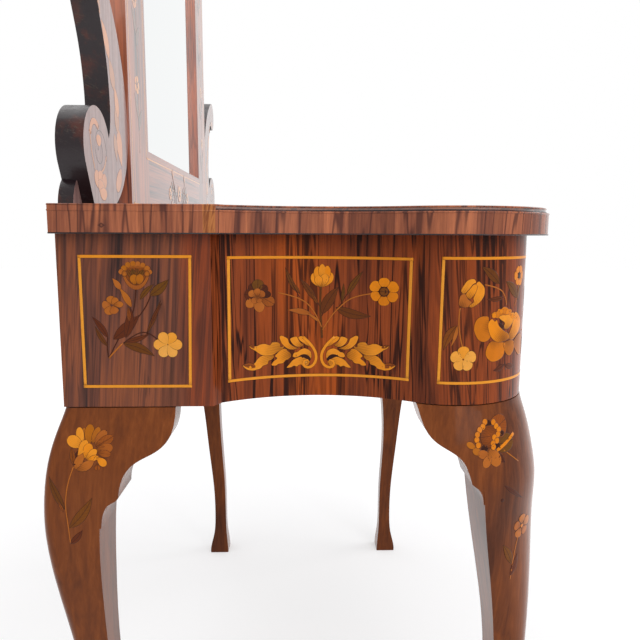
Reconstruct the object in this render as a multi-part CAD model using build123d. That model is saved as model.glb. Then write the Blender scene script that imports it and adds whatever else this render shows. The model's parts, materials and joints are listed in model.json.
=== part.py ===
"""Poudreuse dressing table: serpentine marquetry table with cabriole legs, three drawers and a mirror.

Frame: +X to the right and -Y to the front, as the sitter sees it, +Z up, origin on the floor under
the middle of the table. Millimetres. "Left" pieces are modelled, and "right" ones mirror them.
"""
import os
from math import asin, atan2, cos, degrees, hypot, radians, sin, sqrt

from build123d import *

# ---- Carcase ---------------------------------------------------------------------------------
body_length = 884.0
body_depth = 457.0
apron_height = 162.0
leg_height = 597.0  # floor to the apron's lower edge
panel_thickness = 22.0
back_thickness = 18.0
bottom_thickness = 10.0
bottom_rise = 2.0  # case bottom above the apron's lower edge

# ---- Plan: flat flank, hollow sweep and round corner at each side, hollow front ----------------
corner_radius = 82.0
sweep_radius = 172.0
sweep_inset = 39.5  # deepest point of a side's hollow
front_recess = 50.0  # deepest point of the front's hollow
step_run = 6.5  # the arris falls back to the sweep over this length
step_fall = 12.5  # and by this much
corner_panel_reach = 31.0  # corner block past the centre of its round, both ways

# ---- Top -------------------------------------------------------------------------------------
top_overhang = 20.0
flank_overhang = 13.0
rear_overhang = 1.0
band_height = 20.6  # cross-banded edge
rebate_height = 2.0
rebate_depth = 5.0
leaf_thickness = 3.0
leaf_setback = 3.0
step_slant = 0.577  # the arris moves forward by this share of an overhang

# ---- Legs: (distance, reach beyond the apron, width, outer corner radius) ----------------------
seam = 1.0  # open joint under the apron
knee_reach = 19.8  # furthest that a rear knee stands behind the carcase
rear_knee = [(seam, 0.3, 46, 8), (20, 6.4, 47, 8), (40, 12.3, 49.5, 8), (62, 16.6, 51.6, 9),
             (84, 18.9, 54.6, 10), (112, knee_reach, 54.2, 11), (165, 15.4, 48, 11), (238, 4.6, 37, 10)]
front_knee = [(seam, 0.3, 78, 82.3), (20, 6.0, 78, 88), (40, 11.7, 78, 93.7), (62, 16.4, 78, 98.4),
              (84, 18.8, 78, 98.6), (112, 17.6, 74, 95), (165, 12.6, 62, 72), (238, 4.0, 44, 34)]
ankle = [(248, -8.0, 30, 12), (160, -18.0, 26, 11), (90, -20.0, 25, 11)]  # distance from the floor
foot = [(45, -16.5, 30, 12), (18, -10.0, 39, 15), (0, -9.0, 41, 16)]
rear_block_width = 90.0  # the blank that a leg's outer faces are shaped on
front_block_width = 125.0
post_width = 30.0
front_post_set = 42.0  # corner of the apron to the front post, in length and in depth
bracket_thickness = 27.0
rear_ear = [(104.3, seam), (103.8, 12), (98.4, 29.5), (86, 41), (73.3, 47.4), (61.3, 56.5),
            (55.5, 67), (52.6, 82.5)]  # (distance from the corner, distance under the apron)
front_ear = [(121.7, seam), (119.3, 9), (115, 22), (108, 32), (88.2, 44.5), (79.6, 52.2),
             (74.4, 63), (71.4, 73)]
rear_tail = [(48.6, 86.4), (43, 89.6), (39.4, 94.6), (37, 103), (36, 112)]  # an ear's foot, down to the leg
front_tail = [(68.4, 75.6), (64.4, 78.8), (61.8, 82.8), (60.2, 88), (59.4, 94)]
ear_toe = 9.0  # an ear's lower edge falls this much from its tip to the leg
plank_length = 200.0  # the plank that a rear bracket is sawn from
saw_reach = 160.0  # how far a saw cut runs past a leg

# ---- Drawers and what carries them -----------------------------------------------------------
rail_height = 16.0
rail_depth = 45.0
divider_thickness = 16.0
centre_drawer_width = 284.0
drawer_gap = 1.0
drawer_front_thickness = 20.0
drawer_side_thickness = 9.0
drawer_side_height = 108.0
drawer_bottom_thickness = 5.0
drawer_bottom_rise = 7.0
drawer_back_clearance = 26.0  # drawer back to the back board
runner_width = 20.0
guide_width = 12.0
guide_height = 18.0
stop_size = 14.0
glue_block_size = 18.0
glue_block_spread = (0.24, 0.62)  # shares of the way from the middle to an end
centre_knob_spacing = 165.0
knob_radius = 10.0
knob_reach = 21.0
knob_gap = 0.4  # knob to the hollow face behind it
knob_collar_radius = 8.0
knob_collar_height = 2.2
knob_neck_radius = 4.0
knob_neck_height = 8.8
knob_swell_height = 14.7
knob_dome = (7.2, 19.5)  # radius and height where the dome starts
shank_radius = 3.0
plate_width = 15.0  # keyhole plate
plate_height = 24.0
plate_thickness = 1.4
plate_gap = 0.1  # flat plate to the hollow face behind it
plate_drop = 28.0  # drawer front's upper edge to the plate's middle
keyhole_radius = 1.9
keyhole_slot_width = 1.8
keyhole_slot_drop = 5.0
lock_width = 48.0
lock_rise = 12.0  # lock case above the plate's middle
lock_drop = 17.0
lock_thickness = 7.0
screw_radius = 2.2
screw_head_radius = 4.2
screw_length = 28.0
screw_set = 25.0  # upper rail's face to its screws
screw_spread = (0.3, 0.86)

# ---- Mirror ----------------------------------------------------------------------------------
mirror_width = 570.0
stile_width = 86.0
lower_rail_height = 77.0
opening_height = 470.0
crown_end_height = 48.0  # top rail at its ends
crown_rise = 72.0  # its middle above its ends
crown_line = [(0.9, 0.083), (0.72, 0.25), (0.42, 0.833), (0.2, 0.972)]  # shares of half width and rise
mirror_thickness = 30.5
reveal = 9.0  # frame face to glass
rebate_width = 10.0
glass_thickness = 4.0
glass_clearance = 1.0
backboard_thickness = 6.0
fillet_size = 5.0
dowel_radius = 5.0
dowel_length = 30.0
scroll_setback = 2.5  # frame face to scroll face
scroll_thickness = 25.5
curl_radius = 40.0
curl_centre = (109.0, 55.0)  # (distance from the frame, height above the top)
waist_height = 88.0  # where the scroll touches the frame
lower_bow_radius = 90.0
upper_bow_radius = 176.0
upper_turn = 70.6  # degrees that the upper bow runs through
volute_radius = 28.0
volute_end = -153.0  # degree at which the volute runs into the arm
curl_start = 158.0  # degree at which the arm runs into the curl
arm_back = [(92, 196), (74, 160), (65, 125), (64, 92), (68, 77)]  # outer edge of the arm
scroll_foot_reach = 125.0  # outer end of the scroll's foot, from the frame
toe_height = 26.0
toe_lid = 9.0  # level part of the toe's upper edge
toe_length = 25.0
toe_hump = (19.5, 16.0)  # a point of its rounded end, outwards and up
toe_thickness = 14.0

# ---- Values that follow ----------------------------------------------------------------------
centre_y = (top_overhang - knee_reach) / 2
body_back = centre_y + body_depth / 2
body_front = centre_y - body_depth / 2
half = body_length / 2
case_z = leg_height
case_top = leg_height + apron_height
leaf_z = case_top + band_height
top_z = leaf_z + rebate_height + leaf_thickness
corner_at = (half - corner_radius, body_front + corner_radius)
sweep_x = half - sweep_inset + sweep_radius
sweep_rise = sqrt((corner_radius + sweep_radius) ** 2 - (sweep_x - corner_at[0]) ** 2)
sweep_at = (sweep_x, corner_at[1] + sweep_rise)
arris_y = sweep_at[1] + sqrt(sweep_radius ** 2 - (sweep_x - half + step_fall) ** 2) + step_run
front_span = (corner_at[0] ** 2 + front_recess ** 2) / (2 * front_recess)  # round plus front radius
front_radius = front_span - corner_radius
front_at = (0.0, body_front + front_recess - front_radius)
side_joint_y = corner_at[1] + corner_panel_reach
front_joint_x = corner_at[0] - corner_panel_reach
drawer_z = case_z + rail_height + drawer_gap
opening_top = case_top - rail_height
drawer_face_height = opening_top - drawer_gap - drawer_z
mirror_back = body_back + rear_overhang
mirror_front = mirror_back - mirror_thickness
opening_z = top_z + lower_rail_height
opening_end = opening_z + opening_height
opening_half = mirror_width / 2 - stile_width


# ---- Helpers ---------------------------------------------------------------------------------
def block(x0, x1, y0, y1, z0, z1):
    """A box between two corners."""
    return Pos((x0 + x1) / 2, (y0 + y1) / 2, (z0 + z1) / 2) * Box(x1 - x0, y1 - y0, z1 - z0)


def polar(centre, radius, angle):
    return (centre[0] + radius * cos(radians(angle)), centre[1] + radius * sin(radians(angle)))


def arc(centre, radius, start, end):
    """An arc in the XY plane between two angles in degrees."""
    points = [polar(centre, radius, angle) for angle in (start, (start + end) / 2, end)]
    return ThreePointArc(*points)


def flip(shape):
    """The same piece on the other side of the table."""
    return shape.mirror(Plane.YZ)


def swap(shape):
    """The same piece with its length and depth exchanged."""
    return shape.mirror(Plane(origin=(0, 0, 0), z_dir=(1, -1, 0)))


def cylinder_y(x, y0, y1, z, radius):
    """A round bar from front to back."""
    face = Plane(origin=(x, y0, z), z_dir=(0, 1, 0)) * Circle(radius)
    return extrude(face, y1 - y0)


# ---- Plan of the carcase ---------------------------------------------------------------------
def plan(z0, z1, flank=0.0, offset=0.0, rear=0.0):
    """The table's plan, grown by flank at its straight sides and by offset round its curves."""
    side = half + flank
    arris = arris_y - step_slant * flank
    back = body_back + rear
    radius = sweep_radius - offset
    end_y = arris - step_run
    end_angle = 180 - degrees(asin((end_y - sweep_at[1]) / radius))
    meet = degrees(atan2(sweep_at[1] - corner_at[1], sweep_at[0] - corner_at[0]))
    turn = degrees(asin(corner_at[0] / front_span))
    sweep_end = polar(sweep_at, radius, end_angle)
    right = [
        Line((side, back), (side, arris)),
        Line((side, arris), sweep_end),
        arc(sweep_at, radius, end_angle, 180 + meet),
        arc(corner_at, corner_radius + offset, meet, -90 - turn),
    ]
    front = arc(front_at, front_radius - offset, 90 - turn, 90 + turn)
    rear_edge = Line((-side, back), (side, back))
    edges = right + [front, rear_edge] + [flip(edge) for edge in right]
    return Pos(0, 0, z0) * extrude(Face(Wire(edges)), z1 - z0, dir=(0, 0, 1))


def shell(z0, z1, thickness):
    """A wall of one thickness that follows the plan."""
    return plan(z0, z1) - plan(z0 - 1, z1 + 1, -thickness, -thickness, -thickness)


def side_pieces():
    """The flank, the hollow sweep and the round corner block of the left side."""
    wall = shell(case_z, case_top, panel_thickness)
    low, high = case_z - 1, case_top + 1
    flank = wall & block(-half - 1, -half + panel_thickness, arris_y, body_back, low, high)
    sweep = wall & block(-half - 1, 0, side_joint_y, arris_y, low, high)
    corner = wall & block(-half - 1, -front_joint_x, body_front - 1, side_joint_y, low, high)
    return flank, sweep, corner


def front_disc(depth):
    """Everything in front of a surface that runs parallel to the hollow front."""
    return Pos(front_at[0], front_at[1], case_z) * Cylinder(
        front_radius + depth, apron_height, align=(Align.CENTER, Align.CENTER, Align.MIN))


def front_wall(z0, z1, x0, x1, depth):
    """A stretch of the hollow front, between two lengths."""
    wall = front_disc(depth) - front_disc(0)
    return wall & block(x0, x1, body_front - 1, body_back, z0, z1)


def front_y(x, depth=0.0):
    """The front's face at one length."""
    return front_at[1] + sqrt((front_radius + depth) ** 2 - x ** 2)


# ---- Legs, drawn with the apron's corner at the origin and +X, +Y inwards -----------------------
def stations(knee):
    """(height, reach, width, radius) from the apron down to the floor."""
    upper = [(leg_height - drop, reach, width, radius) for drop, reach, width, radius in knee]
    return upper + ankle + foot


def leg_blank(levels, side):
    """The outer faces of a leg: a square that bulges at the knee, with its outer corner rounded."""
    faces = []
    for height, reach, _, radius in levels:
        low, high = -reach, side - reach
        edges = [
            Line((low + radius, low), (high, low)),
            Line((high, low), (high, high)),
            Line((high, high), (low, high)),
            Line((low, high), (low, low + radius)),
            arc((low + radius, low + radius), radius, 180, 270),
        ]
        faces.append(Pos(0, 0, height) * Face(Wire(edges)))
    return loft(faces)


def upright(edges, x0, x1):
    """A profile in the YZ plane made solid from x0 to x1."""
    return extrude(Pos(x0, 0, 0) * Face(Wire(edges)), x1 - x0, dir=(1, 0, 0))


def sawn(levels):
    """Everything outside a leg's inner edge, sawn from the side."""
    inner = [(0, width - reach, height) for height, reach, width, _ in levels]
    low = (0, -saw_reach, inner[-1][2])
    high = (0, -saw_reach, inner[0][2])
    edges = [Spline(*inner), Line(inner[-1], low), Line(low, high), Line(high, inner[0])]
    return upright(edges, -saw_reach, saw_reach)


def ear_saw(ear, tail):
    """The outline of a knee bracket, sawn from the side: its arch, then its foot."""
    curve = [(0, along, leg_height - drop) for along, drop in ear]
    foot_curve = [curve[-1]] + [(0, along, leg_height - drop) for along, drop in tail]
    tip, heel = foot_curve[-1], curve[0]
    toe = (0, 0, tip[2] - ear_toe)
    top = (0, 0, heel[2])
    edges = [Spline(*curve), Spline(*foot_curve), Line(tip, toe), Line(toe, top), Line(top, heel)]
    return upright(edges, -saw_reach, corner_radius)


def leg_and_ears(knee, side, post_set, round_knee, ear, tail):
    """One leg with its post, and its two knee brackets."""
    levels = stations(knee)
    saw = sawn(levels)
    leg = leg_blank(levels, side) & saw & swap(saw)
    line = [(-reach, 0, height) for height, reach, _, _ in levels[:len(knee) - 1]]
    low = (bracket_thickness, 0, line[-1][2])
    high = (bracket_thickness, 0, line[0][2])
    face = Face(Wire([Spline(*line), Line(line[-1], low), Line(low, high), Line(high, line[0])]))
    if round_knee:
        axis = Axis((corner_radius, corner_radius, 0), (0, 0, 1))
        plank = revolve(Pos(0, corner_radius, 0) * face, axis)
    else:
        plank = extrude(face, plank_length, dir=(0, 1, 0))
    bracket = (plank & ear_saw(ear, tail)) - saw
    post = block(post_set, post_set + post_width, post_set, post_set + post_width,
                 leg_height - seam, case_top)
    return leg + post, [bracket, swap(bracket)]


def place_leg(shape, rear):
    """Moves a leg's piece from its own corner to the table's left side."""
    if rear:
        return Pos(-half, body_back, 0) * shape.mirror(Plane.XZ)
    return Pos(-half, body_front, 0) * shape


# ---- Drawers ---------------------------------------------------------------------------------
def drawer_openings():
    """The stretch of the front that each drawer fills."""
    inner = centre_drawer_width / 2
    outer = -front_joint_x
    return {
        "left": (outer, -inner - divider_thickness),
        "centre": (-inner, inner),
        "right": (inner + divider_thickness, -outer),
    }


def square_to_front(x, shape):
    """Moves a shape that stands on the XY plane to the drawer fronts' middle height."""
    lean = degrees(asin(x / front_radius))
    place = Location((x, front_y(x), drawer_z + drawer_face_height / 2), (0, 0, -lean))
    return place * (Rot(90, 0, 0) * shape)


def knob(x):
    """A turned knob with its shank, square to the hollow front."""
    inner_end = -drawer_front_thickness
    profile = [(0, inner_end), (shank_radius, inner_end), (shank_radius, knob_gap),
               (knob_collar_radius, knob_gap), (knob_collar_radius, knob_collar_height),
               (knob_neck_radius, 2 * knob_collar_height), (knob_neck_radius, knob_neck_height)]
    stem = Polyline(*[(radius, 0, height) for radius, height in profile])
    head = Spline((knob_neck_radius, 0, knob_neck_height), (knob_radius, 0, knob_swell_height),
                  (knob_dome[0], 0, knob_dome[1]), (0, 0, knob_reach))
    centre_line = Line((0, 0, knob_reach), (0, 0, inner_end))
    turned = revolve(Face(Wire(stem.edges() + [head, centre_line])), Axis.Z)
    return square_to_front(x, turned)


def shank_hole(x):
    """The bore that a knob's shank fills."""
    return square_to_front(x, Cylinder(shank_radius, 4 * drawer_front_thickness))


def drawer(x0, x1, knob_places):
    """The pieces of one drawer whose front runs from x0 to x1."""
    left, right = x0 + drawer_gap, x1 - drawer_gap
    back_y = body_back - back_thickness - drawer_back_clearance
    floor = drawer_z + drawer_bottom_rise
    bottom_top = floor + drawer_bottom_thickness
    side_top = drawer_z + drawer_side_height
    inset = drawer_side_thickness
    room = front_disc(drawer_front_thickness)
    face = front_wall(drawer_z, drawer_z + drawer_face_height, left, right, drawer_front_thickness)
    for place in knob_places:
        face -= shank_hole(place)
    start = body_front - 1
    pieces = {
        "front": face,
        "side_left": block(left, left + inset, start, back_y, drawer_z, side_top) - room,
        "side_right": block(right - inset, right, start, back_y, drawer_z, side_top) - room,
        "back": block(left + inset, right - inset, back_y - inset, back_y, bottom_top, side_top),
        "bottom": block(left + inset, right - inset, start, back_y, floor, bottom_top) - room,
        "knob": [knob(place) for place in knob_places],
    }
    return pieces


def keyhole_plate_and_lock():
    """The keyhole plate on the centre drawer and the lock behind it."""
    y = front_y(0)
    z = drawer_z + drawer_face_height - plate_drop
    stand = Plane(origin=(0, y - plate_gap, z), z_dir=(0, -1, 0))
    plate = extrude(stand * Ellipse(plate_width / 2, plate_height / 2), plate_thickness)
    before, behind = y - plate_height, y + plate_height
    slot = keyhole_slot_width / 2
    hole_z = z + keyhole_radius
    keyhole = cylinder_y(0, before, behind, hole_z, keyhole_radius)
    keyhole += block(-slot, slot, before, behind, z - keyhole_slot_drop, hole_z)
    case_y = front_y(0, drawer_front_thickness)
    lock = block(-lock_width / 2, lock_width / 2, case_y, case_y + lock_thickness,
                 z - lock_drop, z + lock_rise)
    return [plate - keyhole, lock]


# ---- Mirror ----------------------------------------------------------------------------------
def rebated(piece):
    """Cuts the seat of the glass and its backboard into the frame's inner edge."""
    seat = block(-opening_half - rebate_width, opening_half + rebate_width, mirror_front + reveal,
                 mirror_back + 1, opening_z - rebate_width, opening_end + rebate_width)
    return piece - seat


def crown():
    """The top rail: a straight rail with a bowed and shouldered crest."""
    w = mirror_width / 2
    edge = opening_end + crown_end_height
    crest = [(1, 0)] + crown_line + [(0, 1)]
    points = [(across * w, 0, edge + up * crown_rise) for across, up in crest]
    right = [
        Line((w, 0, opening_end), points[0]),
        Spline(*points, tangents=((0, 0, 1), (-1, 0, 0))),
    ]
    base = Line((-w, 0, opening_end), (w, 0, opening_end))
    edges = right + [flip(edge) for edge in right] + [base]
    return extrude(Pos(0, mirror_front, 0) * Face(Wire(edges)), mirror_thickness, dir=(0, 1, 0))


def mirror_pieces():
    """The frame, the glass and what holds it, by name."""
    w = mirror_width / 2
    stile = block(-w, -opening_half, mirror_front, mirror_back, top_z, opening_end)
    lower = block(-opening_half, opening_half, mirror_front, mirror_back, top_z, opening_z)
    reach = opening_half + rebate_width
    low, high = opening_z - rebate_width, opening_end + rebate_width
    gap = glass_clearance
    glass_y = mirror_front + reveal
    board_y = glass_y + glass_thickness
    board_end = board_y + backboard_thickness
    fillets = []
    for x in (-reach, reach - fillet_size):
        fillets.append(block(x, x + fillet_size, board_end, board_end + fillet_size, low, high))
    for z in (low, high - fillet_size):
        fillets.append(block(-reach + fillet_size, reach - fillet_size, board_end,
                             board_end + fillet_size, z, z + fillet_size))
    return {
        "mirror_stile_left": rebated(stile),
        "mirror_stile_right": rebated(flip(stile)),
        "mirror_lower_rail": rebated(lower),
        "mirror_crown": rebated(crown()),
        "mirror_glass": block(-reach + gap, reach - gap, glass_y, board_y, low + gap, high - gap),
        "mirror_backboard": block(-reach + gap, reach - gap, board_y, board_end, low + gap, high - gap),
        "mirror_fillets": fillets,
    }


def scroll():
    """The left scroll: a C that opens outwards, with a large curl below and a small one above."""
    def at(u, v):
        return (-mirror_width / 2 - u, 0, top_z + v)

    def bend(centre, radius, start, end):
        return ThreePointArc(*[at(*polar(centre, radius, a)) for a in (start, (start + end) / 2, end)])

    low_at = (lower_bow_radius, waist_height)
    high_at = (upper_bow_radius, waist_height)
    foot_angle = 180 + degrees(asin(waist_height / lower_bow_radius))
    turn = 180 - upper_turn
    volute_at = polar(high_at, upper_bow_radius - volute_radius, turn)
    throat = polar(volute_at, volute_radius, volute_end)
    base = polar(low_at, lower_bow_radius, foot_angle)
    outer = (scroll_foot_reach, 0.0)
    reach = hypot(outer[0] - curl_centre[0], outer[1] - curl_centre[1])
    tangent = degrees(atan2(outer[1] - curl_centre[1], outer[0] - curl_centre[0]))
    curl_end = tangent + degrees(asin(sqrt(reach ** 2 - curl_radius ** 2) / reach))
    slit = polar(curl_centre, curl_radius, curl_start)
    edges = [
        bend(low_at, lower_bow_radius, foot_angle, 180),
        bend(high_at, upper_bow_radius, 180, turn),
        bend(volute_at, volute_radius, turn, volute_end),
        Spline(*[at(*p) for p in [throat] + arm_back + [slit]]),
        bend(curl_centre, curl_radius, curl_start, curl_end),
        Line(at(*polar(curl_centre, curl_radius, curl_end)), at(*outer)),
        Line(at(*outer), at(*base)),
    ]
    face = Pos(0, mirror_front + scroll_setback, 0) * Face(Wire(edges))
    return extrude(face, scroll_thickness, dir=(0, 1, 0))


def scroll_toe(body):
    """The small hump behind the scroll's foot."""
    def at(out, up):
        return (-mirror_width / 2 - scroll_foot_reach - out, 0, top_z + up)

    hidden = -toe_lid  # it is cut back to the scroll from here
    edges = [
        Line(at(hidden, 0), at(toe_length, 0)),
        ThreePointArc(at(toe_length, 0), at(*toe_hump), at(toe_lid, toe_height)),
        Line(at(toe_lid, toe_height), at(hidden, toe_height)),
        Line(at(hidden, toe_height), at(hidden, 0)),
    ]
    face = Pos(0, mirror_front + scroll_setback + scroll_thickness - toe_thickness, 0) * Face(Wire(edges))
    return extrude(face, toe_thickness, dir=(0, 1, 0)) - body


# ---- The table -------------------------------------------------------------------------------
def screw(x, y, z, axis):
    """A countersunk wood screw whose head lies at the point and whose shank follows the axis."""
    place = Plane(origin=(x, y, z), z_dir=axis)
    shank = extrude(place * Circle(screw_radius), screw_length)
    head = Cone(screw_head_radius, screw_radius, screw_head_radius - screw_radius,
                align=(Align.CENTER, Align.CENTER, Align.MIN))
    return shank + place * head


def build():
    """Every node by name."""
    nodes = {}
    flank, sweep, corner = side_pieces()
    for name, piece in (("flank_panel", flank), ("sweep_panel", sweep), ("corner_block", corner)):
        nodes[name + "_left"] = piece
        nodes[name + "_right"] = flip(piece)

    legs = {
        "rear": leg_and_ears(rear_knee, rear_block_width, panel_thickness, False, rear_ear, rear_tail),
        "front": leg_and_ears(front_knee, front_block_width, front_post_set, True, front_ear, front_tail),
    }
    for end, (leg, ears) in legs.items():
        leg = place_leg(leg, end == "rear")
        ears = [place_leg(ear, end == "rear") for ear in ears]
        nodes[f"leg_{end}_left"] = leg
        nodes[f"leg_{end}_right"] = flip(leg)
        nodes[f"knee_brackets_{end}_left"] = ears
        nodes[f"knee_brackets_{end}_right"] = [flip(ear) for ear in ears]

    high = case_top + 1
    back_y = body_back - back_thickness
    inner = half - panel_thickness
    nodes["back_board"] = block(-inner, inner, back_y, body_back, case_z, case_top)
    joint = -front_joint_x
    lower_rail = front_wall(case_z, case_z + rail_height, joint, -joint, rail_depth)
    upper_rail = front_wall(opening_top, case_top, joint, -joint, rail_depth)
    nodes["front_rail_lower"] = lower_rail

    inside = plan(case_z, case_top, -panel_thickness, -panel_thickness, -back_thickness)
    bottom_z = case_z + bottom_rise
    bottom_top = bottom_z + bottom_thickness
    case_bottom = inside & block(-half, half, body_front, back_y, bottom_z, bottom_top)
    case_bottom -= lower_rail
    for post in [nodes[f"leg_{end}_{side}"] for end in legs for side in ("left", "right")]:
        case_bottom -= post
    nodes["case_bottom"] = case_bottom

    divider_x = centre_drawer_width / 2
    behind_face = front_disc(0)
    behind_rail = front_disc(rail_depth)
    divider = block(-divider_x - divider_thickness, -divider_x, body_front, back_y, bottom_top, case_top)
    divider -= behind_face
    divider -= behind_rail & block(-half, half, body_front, body_back, case_z, drawer_z - drawer_gap)
    divider -= behind_rail & block(-half, half, body_front, body_back, opening_top, high)
    nodes["divider_left"] = divider
    nodes["divider_right"] = flip(divider)

    openings = drawer_openings()
    runners, stops = [], []
    stop_y = back_y - drawer_back_clearance + drawer_gap
    for x0, x1 in openings.values():
        for x in (x0, x1 - runner_width):
            runner = block(x, x + runner_width, body_front, back_y, bottom_top, drawer_z)
            runners.append(runner - behind_rail)
            stops.append(block(x, x + stop_size, stop_y, stop_y + stop_size,
                               drawer_z, drawer_z + stop_size))
    outer = openings["left"][0]
    guide_front = body_front + front_post_set + post_width
    guide_back = back_y - post_width
    guide = block(outer - guide_width, outer, guide_front, guide_back,
                  bottom_top, bottom_top + guide_height)
    guide -= behind_rail
    nodes["drawer_runners"] = runners
    nodes["drawer_stops"] = stops
    nodes["drawer_guides"] = [guide, flip(guide)]

    size = glue_block_size
    spots = [side * share * inner for side in (-1, 1) for share in glue_block_spread]
    blocks = [block(x - size, x + size, back_y - size, back_y, case_top - size, case_top)
              for x in spots]
    flank_y = (arris_y + body_back - panel_thickness - post_width) / 2
    edge = block(-inner, -inner + size, flank_y - size, flank_y + size, case_top - size, case_top)
    blocks += [edge, flip(edge)]
    screws = [screw(x, back_y - size / 2, case_top - size, (0, 0, 1)) for x in spots]
    for x in [side * share * joint for side in (-1, 1) for share in screw_spread]:
        screws.append(screw(x, front_y(x, screw_set), opening_top, (0, 0, 1)))

    top = plan(case_top, leaf_z, flank_overhang, top_overhang, rear_overhang)
    neck_offset = top_overhang - rebate_depth
    leaf_offset = top_overhang - leaf_setback
    leaf = plan(leaf_z, leaf_z + rebate_height, flank_overhang, neck_offset, rear_overhang)
    leaf += plan(leaf_z + rebate_height, top_z, flank_overhang, leaf_offset, rear_overhang)
    for fixing in screws:
        top -= fixing
        upper_rail -= fixing
        blocks = [piece - fixing for piece in blocks]
    nodes["front_rail_upper"] = upper_rail
    nodes["glue_blocks"] = blocks
    nodes["top_screws"] = screws
    nodes["top_board"] = top
    nodes["top_leaf"] = leaf

    nodes.update(mirror_pieces())
    left_scroll = scroll()
    toe = scroll_toe(left_scroll)
    nodes["scroll_left"] = left_scroll
    nodes["scroll_right"] = flip(left_scroll)
    nodes["scroll_toes"] = [toe, flip(toe)]
    stile_x = (mirror_width - stile_width) / 2
    dowels = [Pos(x, (mirror_front + mirror_back) / 2, top_z) * Cylinder(dowel_radius, dowel_length)
              for x in (-stile_x, stile_x)]
    for dowel in dowels:
        for name in ("mirror_stile_left", "mirror_stile_right", "top_leaf", "top_board"):
            nodes[name] = nodes[name] - dowel
    nodes["mirror_dowels"] = dowels

    for place, (x0, x1) in openings.items():
        spread = centre_knob_spacing / 2
        knobs = (-spread, spread) if place == "centre" else ((x0 + x1) / 2,)
        for name, piece in drawer(x0, x1, knobs).items():
            nodes[f"drawer_{place}_{name}"] = piece
    nodes["drawer_centre_lock"] = keyhole_plate_and_lock()
    return nodes


if __name__ == "__main__":
    os.makedirs("parts", exist_ok=True)
    for name, piece in build().items():
        shape = Compound(children=piece) if isinstance(piece, list) else piece
        export_step(shape, f"parts/{name}.step")
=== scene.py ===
import json
import math
import random

import bmesh
import bpy
from bpy.props import FloatProperty, FloatVectorProperty, IntProperty, PointerProperty
from mathutils import Matrix, Vector
from mathutils.bvhtree import BVHTree
from mathutils.geometry import delaunay_2d_cdt


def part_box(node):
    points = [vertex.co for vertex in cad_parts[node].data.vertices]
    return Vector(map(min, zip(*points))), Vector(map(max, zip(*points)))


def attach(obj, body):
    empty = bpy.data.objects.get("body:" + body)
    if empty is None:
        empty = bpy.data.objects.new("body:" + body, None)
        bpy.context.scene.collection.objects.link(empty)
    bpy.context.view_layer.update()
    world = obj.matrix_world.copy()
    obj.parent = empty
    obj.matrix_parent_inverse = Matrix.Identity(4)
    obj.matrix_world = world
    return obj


bl_info = {
    "name": "Marquetry dressing table",
    "version": (1, 0, 0),
    "blender": (4, 5, 0),
    "location": "View3D > Sidebar > Dressing Table",
    "description": "Veneers, marquetry, stringing and stage for the dressing table",
    "category": "Object",
}

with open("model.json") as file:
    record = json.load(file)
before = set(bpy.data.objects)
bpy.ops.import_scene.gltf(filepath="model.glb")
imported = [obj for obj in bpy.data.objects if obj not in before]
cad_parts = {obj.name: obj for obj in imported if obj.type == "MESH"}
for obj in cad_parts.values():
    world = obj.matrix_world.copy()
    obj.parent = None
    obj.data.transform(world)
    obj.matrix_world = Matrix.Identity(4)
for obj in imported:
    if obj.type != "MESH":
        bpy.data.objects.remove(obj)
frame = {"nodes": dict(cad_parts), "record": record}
NODES = frame["nodes"]
MM = 0.001

# ---- What the frame gives, in metres ------------------------------------------------------------
FLANK_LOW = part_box("flank_panel_left")[0]
CORNER_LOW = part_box("corner_block_left")[0]
LEAF_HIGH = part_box("top_leaf")[1]
BAND_LOW, BAND_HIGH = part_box("top_board")
STILE_LOW, STILE_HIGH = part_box("mirror_stile_left")
RAIL_LOW, RAIL_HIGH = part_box("mirror_lower_rail")
CROWN_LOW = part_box("mirror_crown")[0]
TOP_MM = LEAF_HIGH.z / MM
CORNER_RADIUS = 0.082
CORNER_AT = Vector((CORNER_LOW.x + CORNER_RADIUS, CORNER_LOW.y + CORNER_RADIUS, 0))
CORNER_TO_MIDDLE = 0.22645
MIDDLE = CORNER_LOW.y + CORNER_TO_MIDDLE  # lengths on the sides and on the top are measured from here
KNEE = 0.1065  # the flat part of each side begins this far behind the middle


# ---- Sizes and colours that a user may change -----------------------------------------------------
def colour(name, text, value):
    """A colour that a user may change."""
    return FloatVectorProperty(name=name, description=text, default=value, subtype="COLOR", min=0, max=1)


class VeneerSettings(bpy.types.PropertyGroup):
    """Colours of the sawn veneers, and the weight of the polish."""
    dark: colour("Dark streak", "Veneer's darkest streaks", (0.020, 0.007, 0.006))
    middle: colour("Middle", "Veneer between its streaks", (0.120, 0.041, 0.026))
    light: colour("Light streak", "Veneer's lightest streaks", (0.235, 0.076, 0.034))
    warm: colour("Warm figure", "Orange figure that runs through the veneer", (0.330, 0.098, 0.024))
    polish: FloatProperty(name="Polish", description="Weight of the clear polish", default=0.80, min=0,
                          max=1)


class MarquetrySettings(bpy.types.PropertyGroup):
    """Sizes and woods of the inlays."""
    string_width: FloatProperty(name="Stringing", description="Width of the light lines",
                                default=3.0 * MM, unit="LENGTH")
    string_wood: FloatProperty(name="Stringing wood", description="0 is pale boxwood, 1 dark walnut",
                               default=0.16, min=0, max=1)
    thickness: FloatProperty(name="Plate thickness", description="Thickness of an inlaid plate",
                             default=0.5 * MM, unit="LENGTH")
    seed: IntProperty(name="Seed", description="Starts the small differences between petals", default=7)


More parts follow.
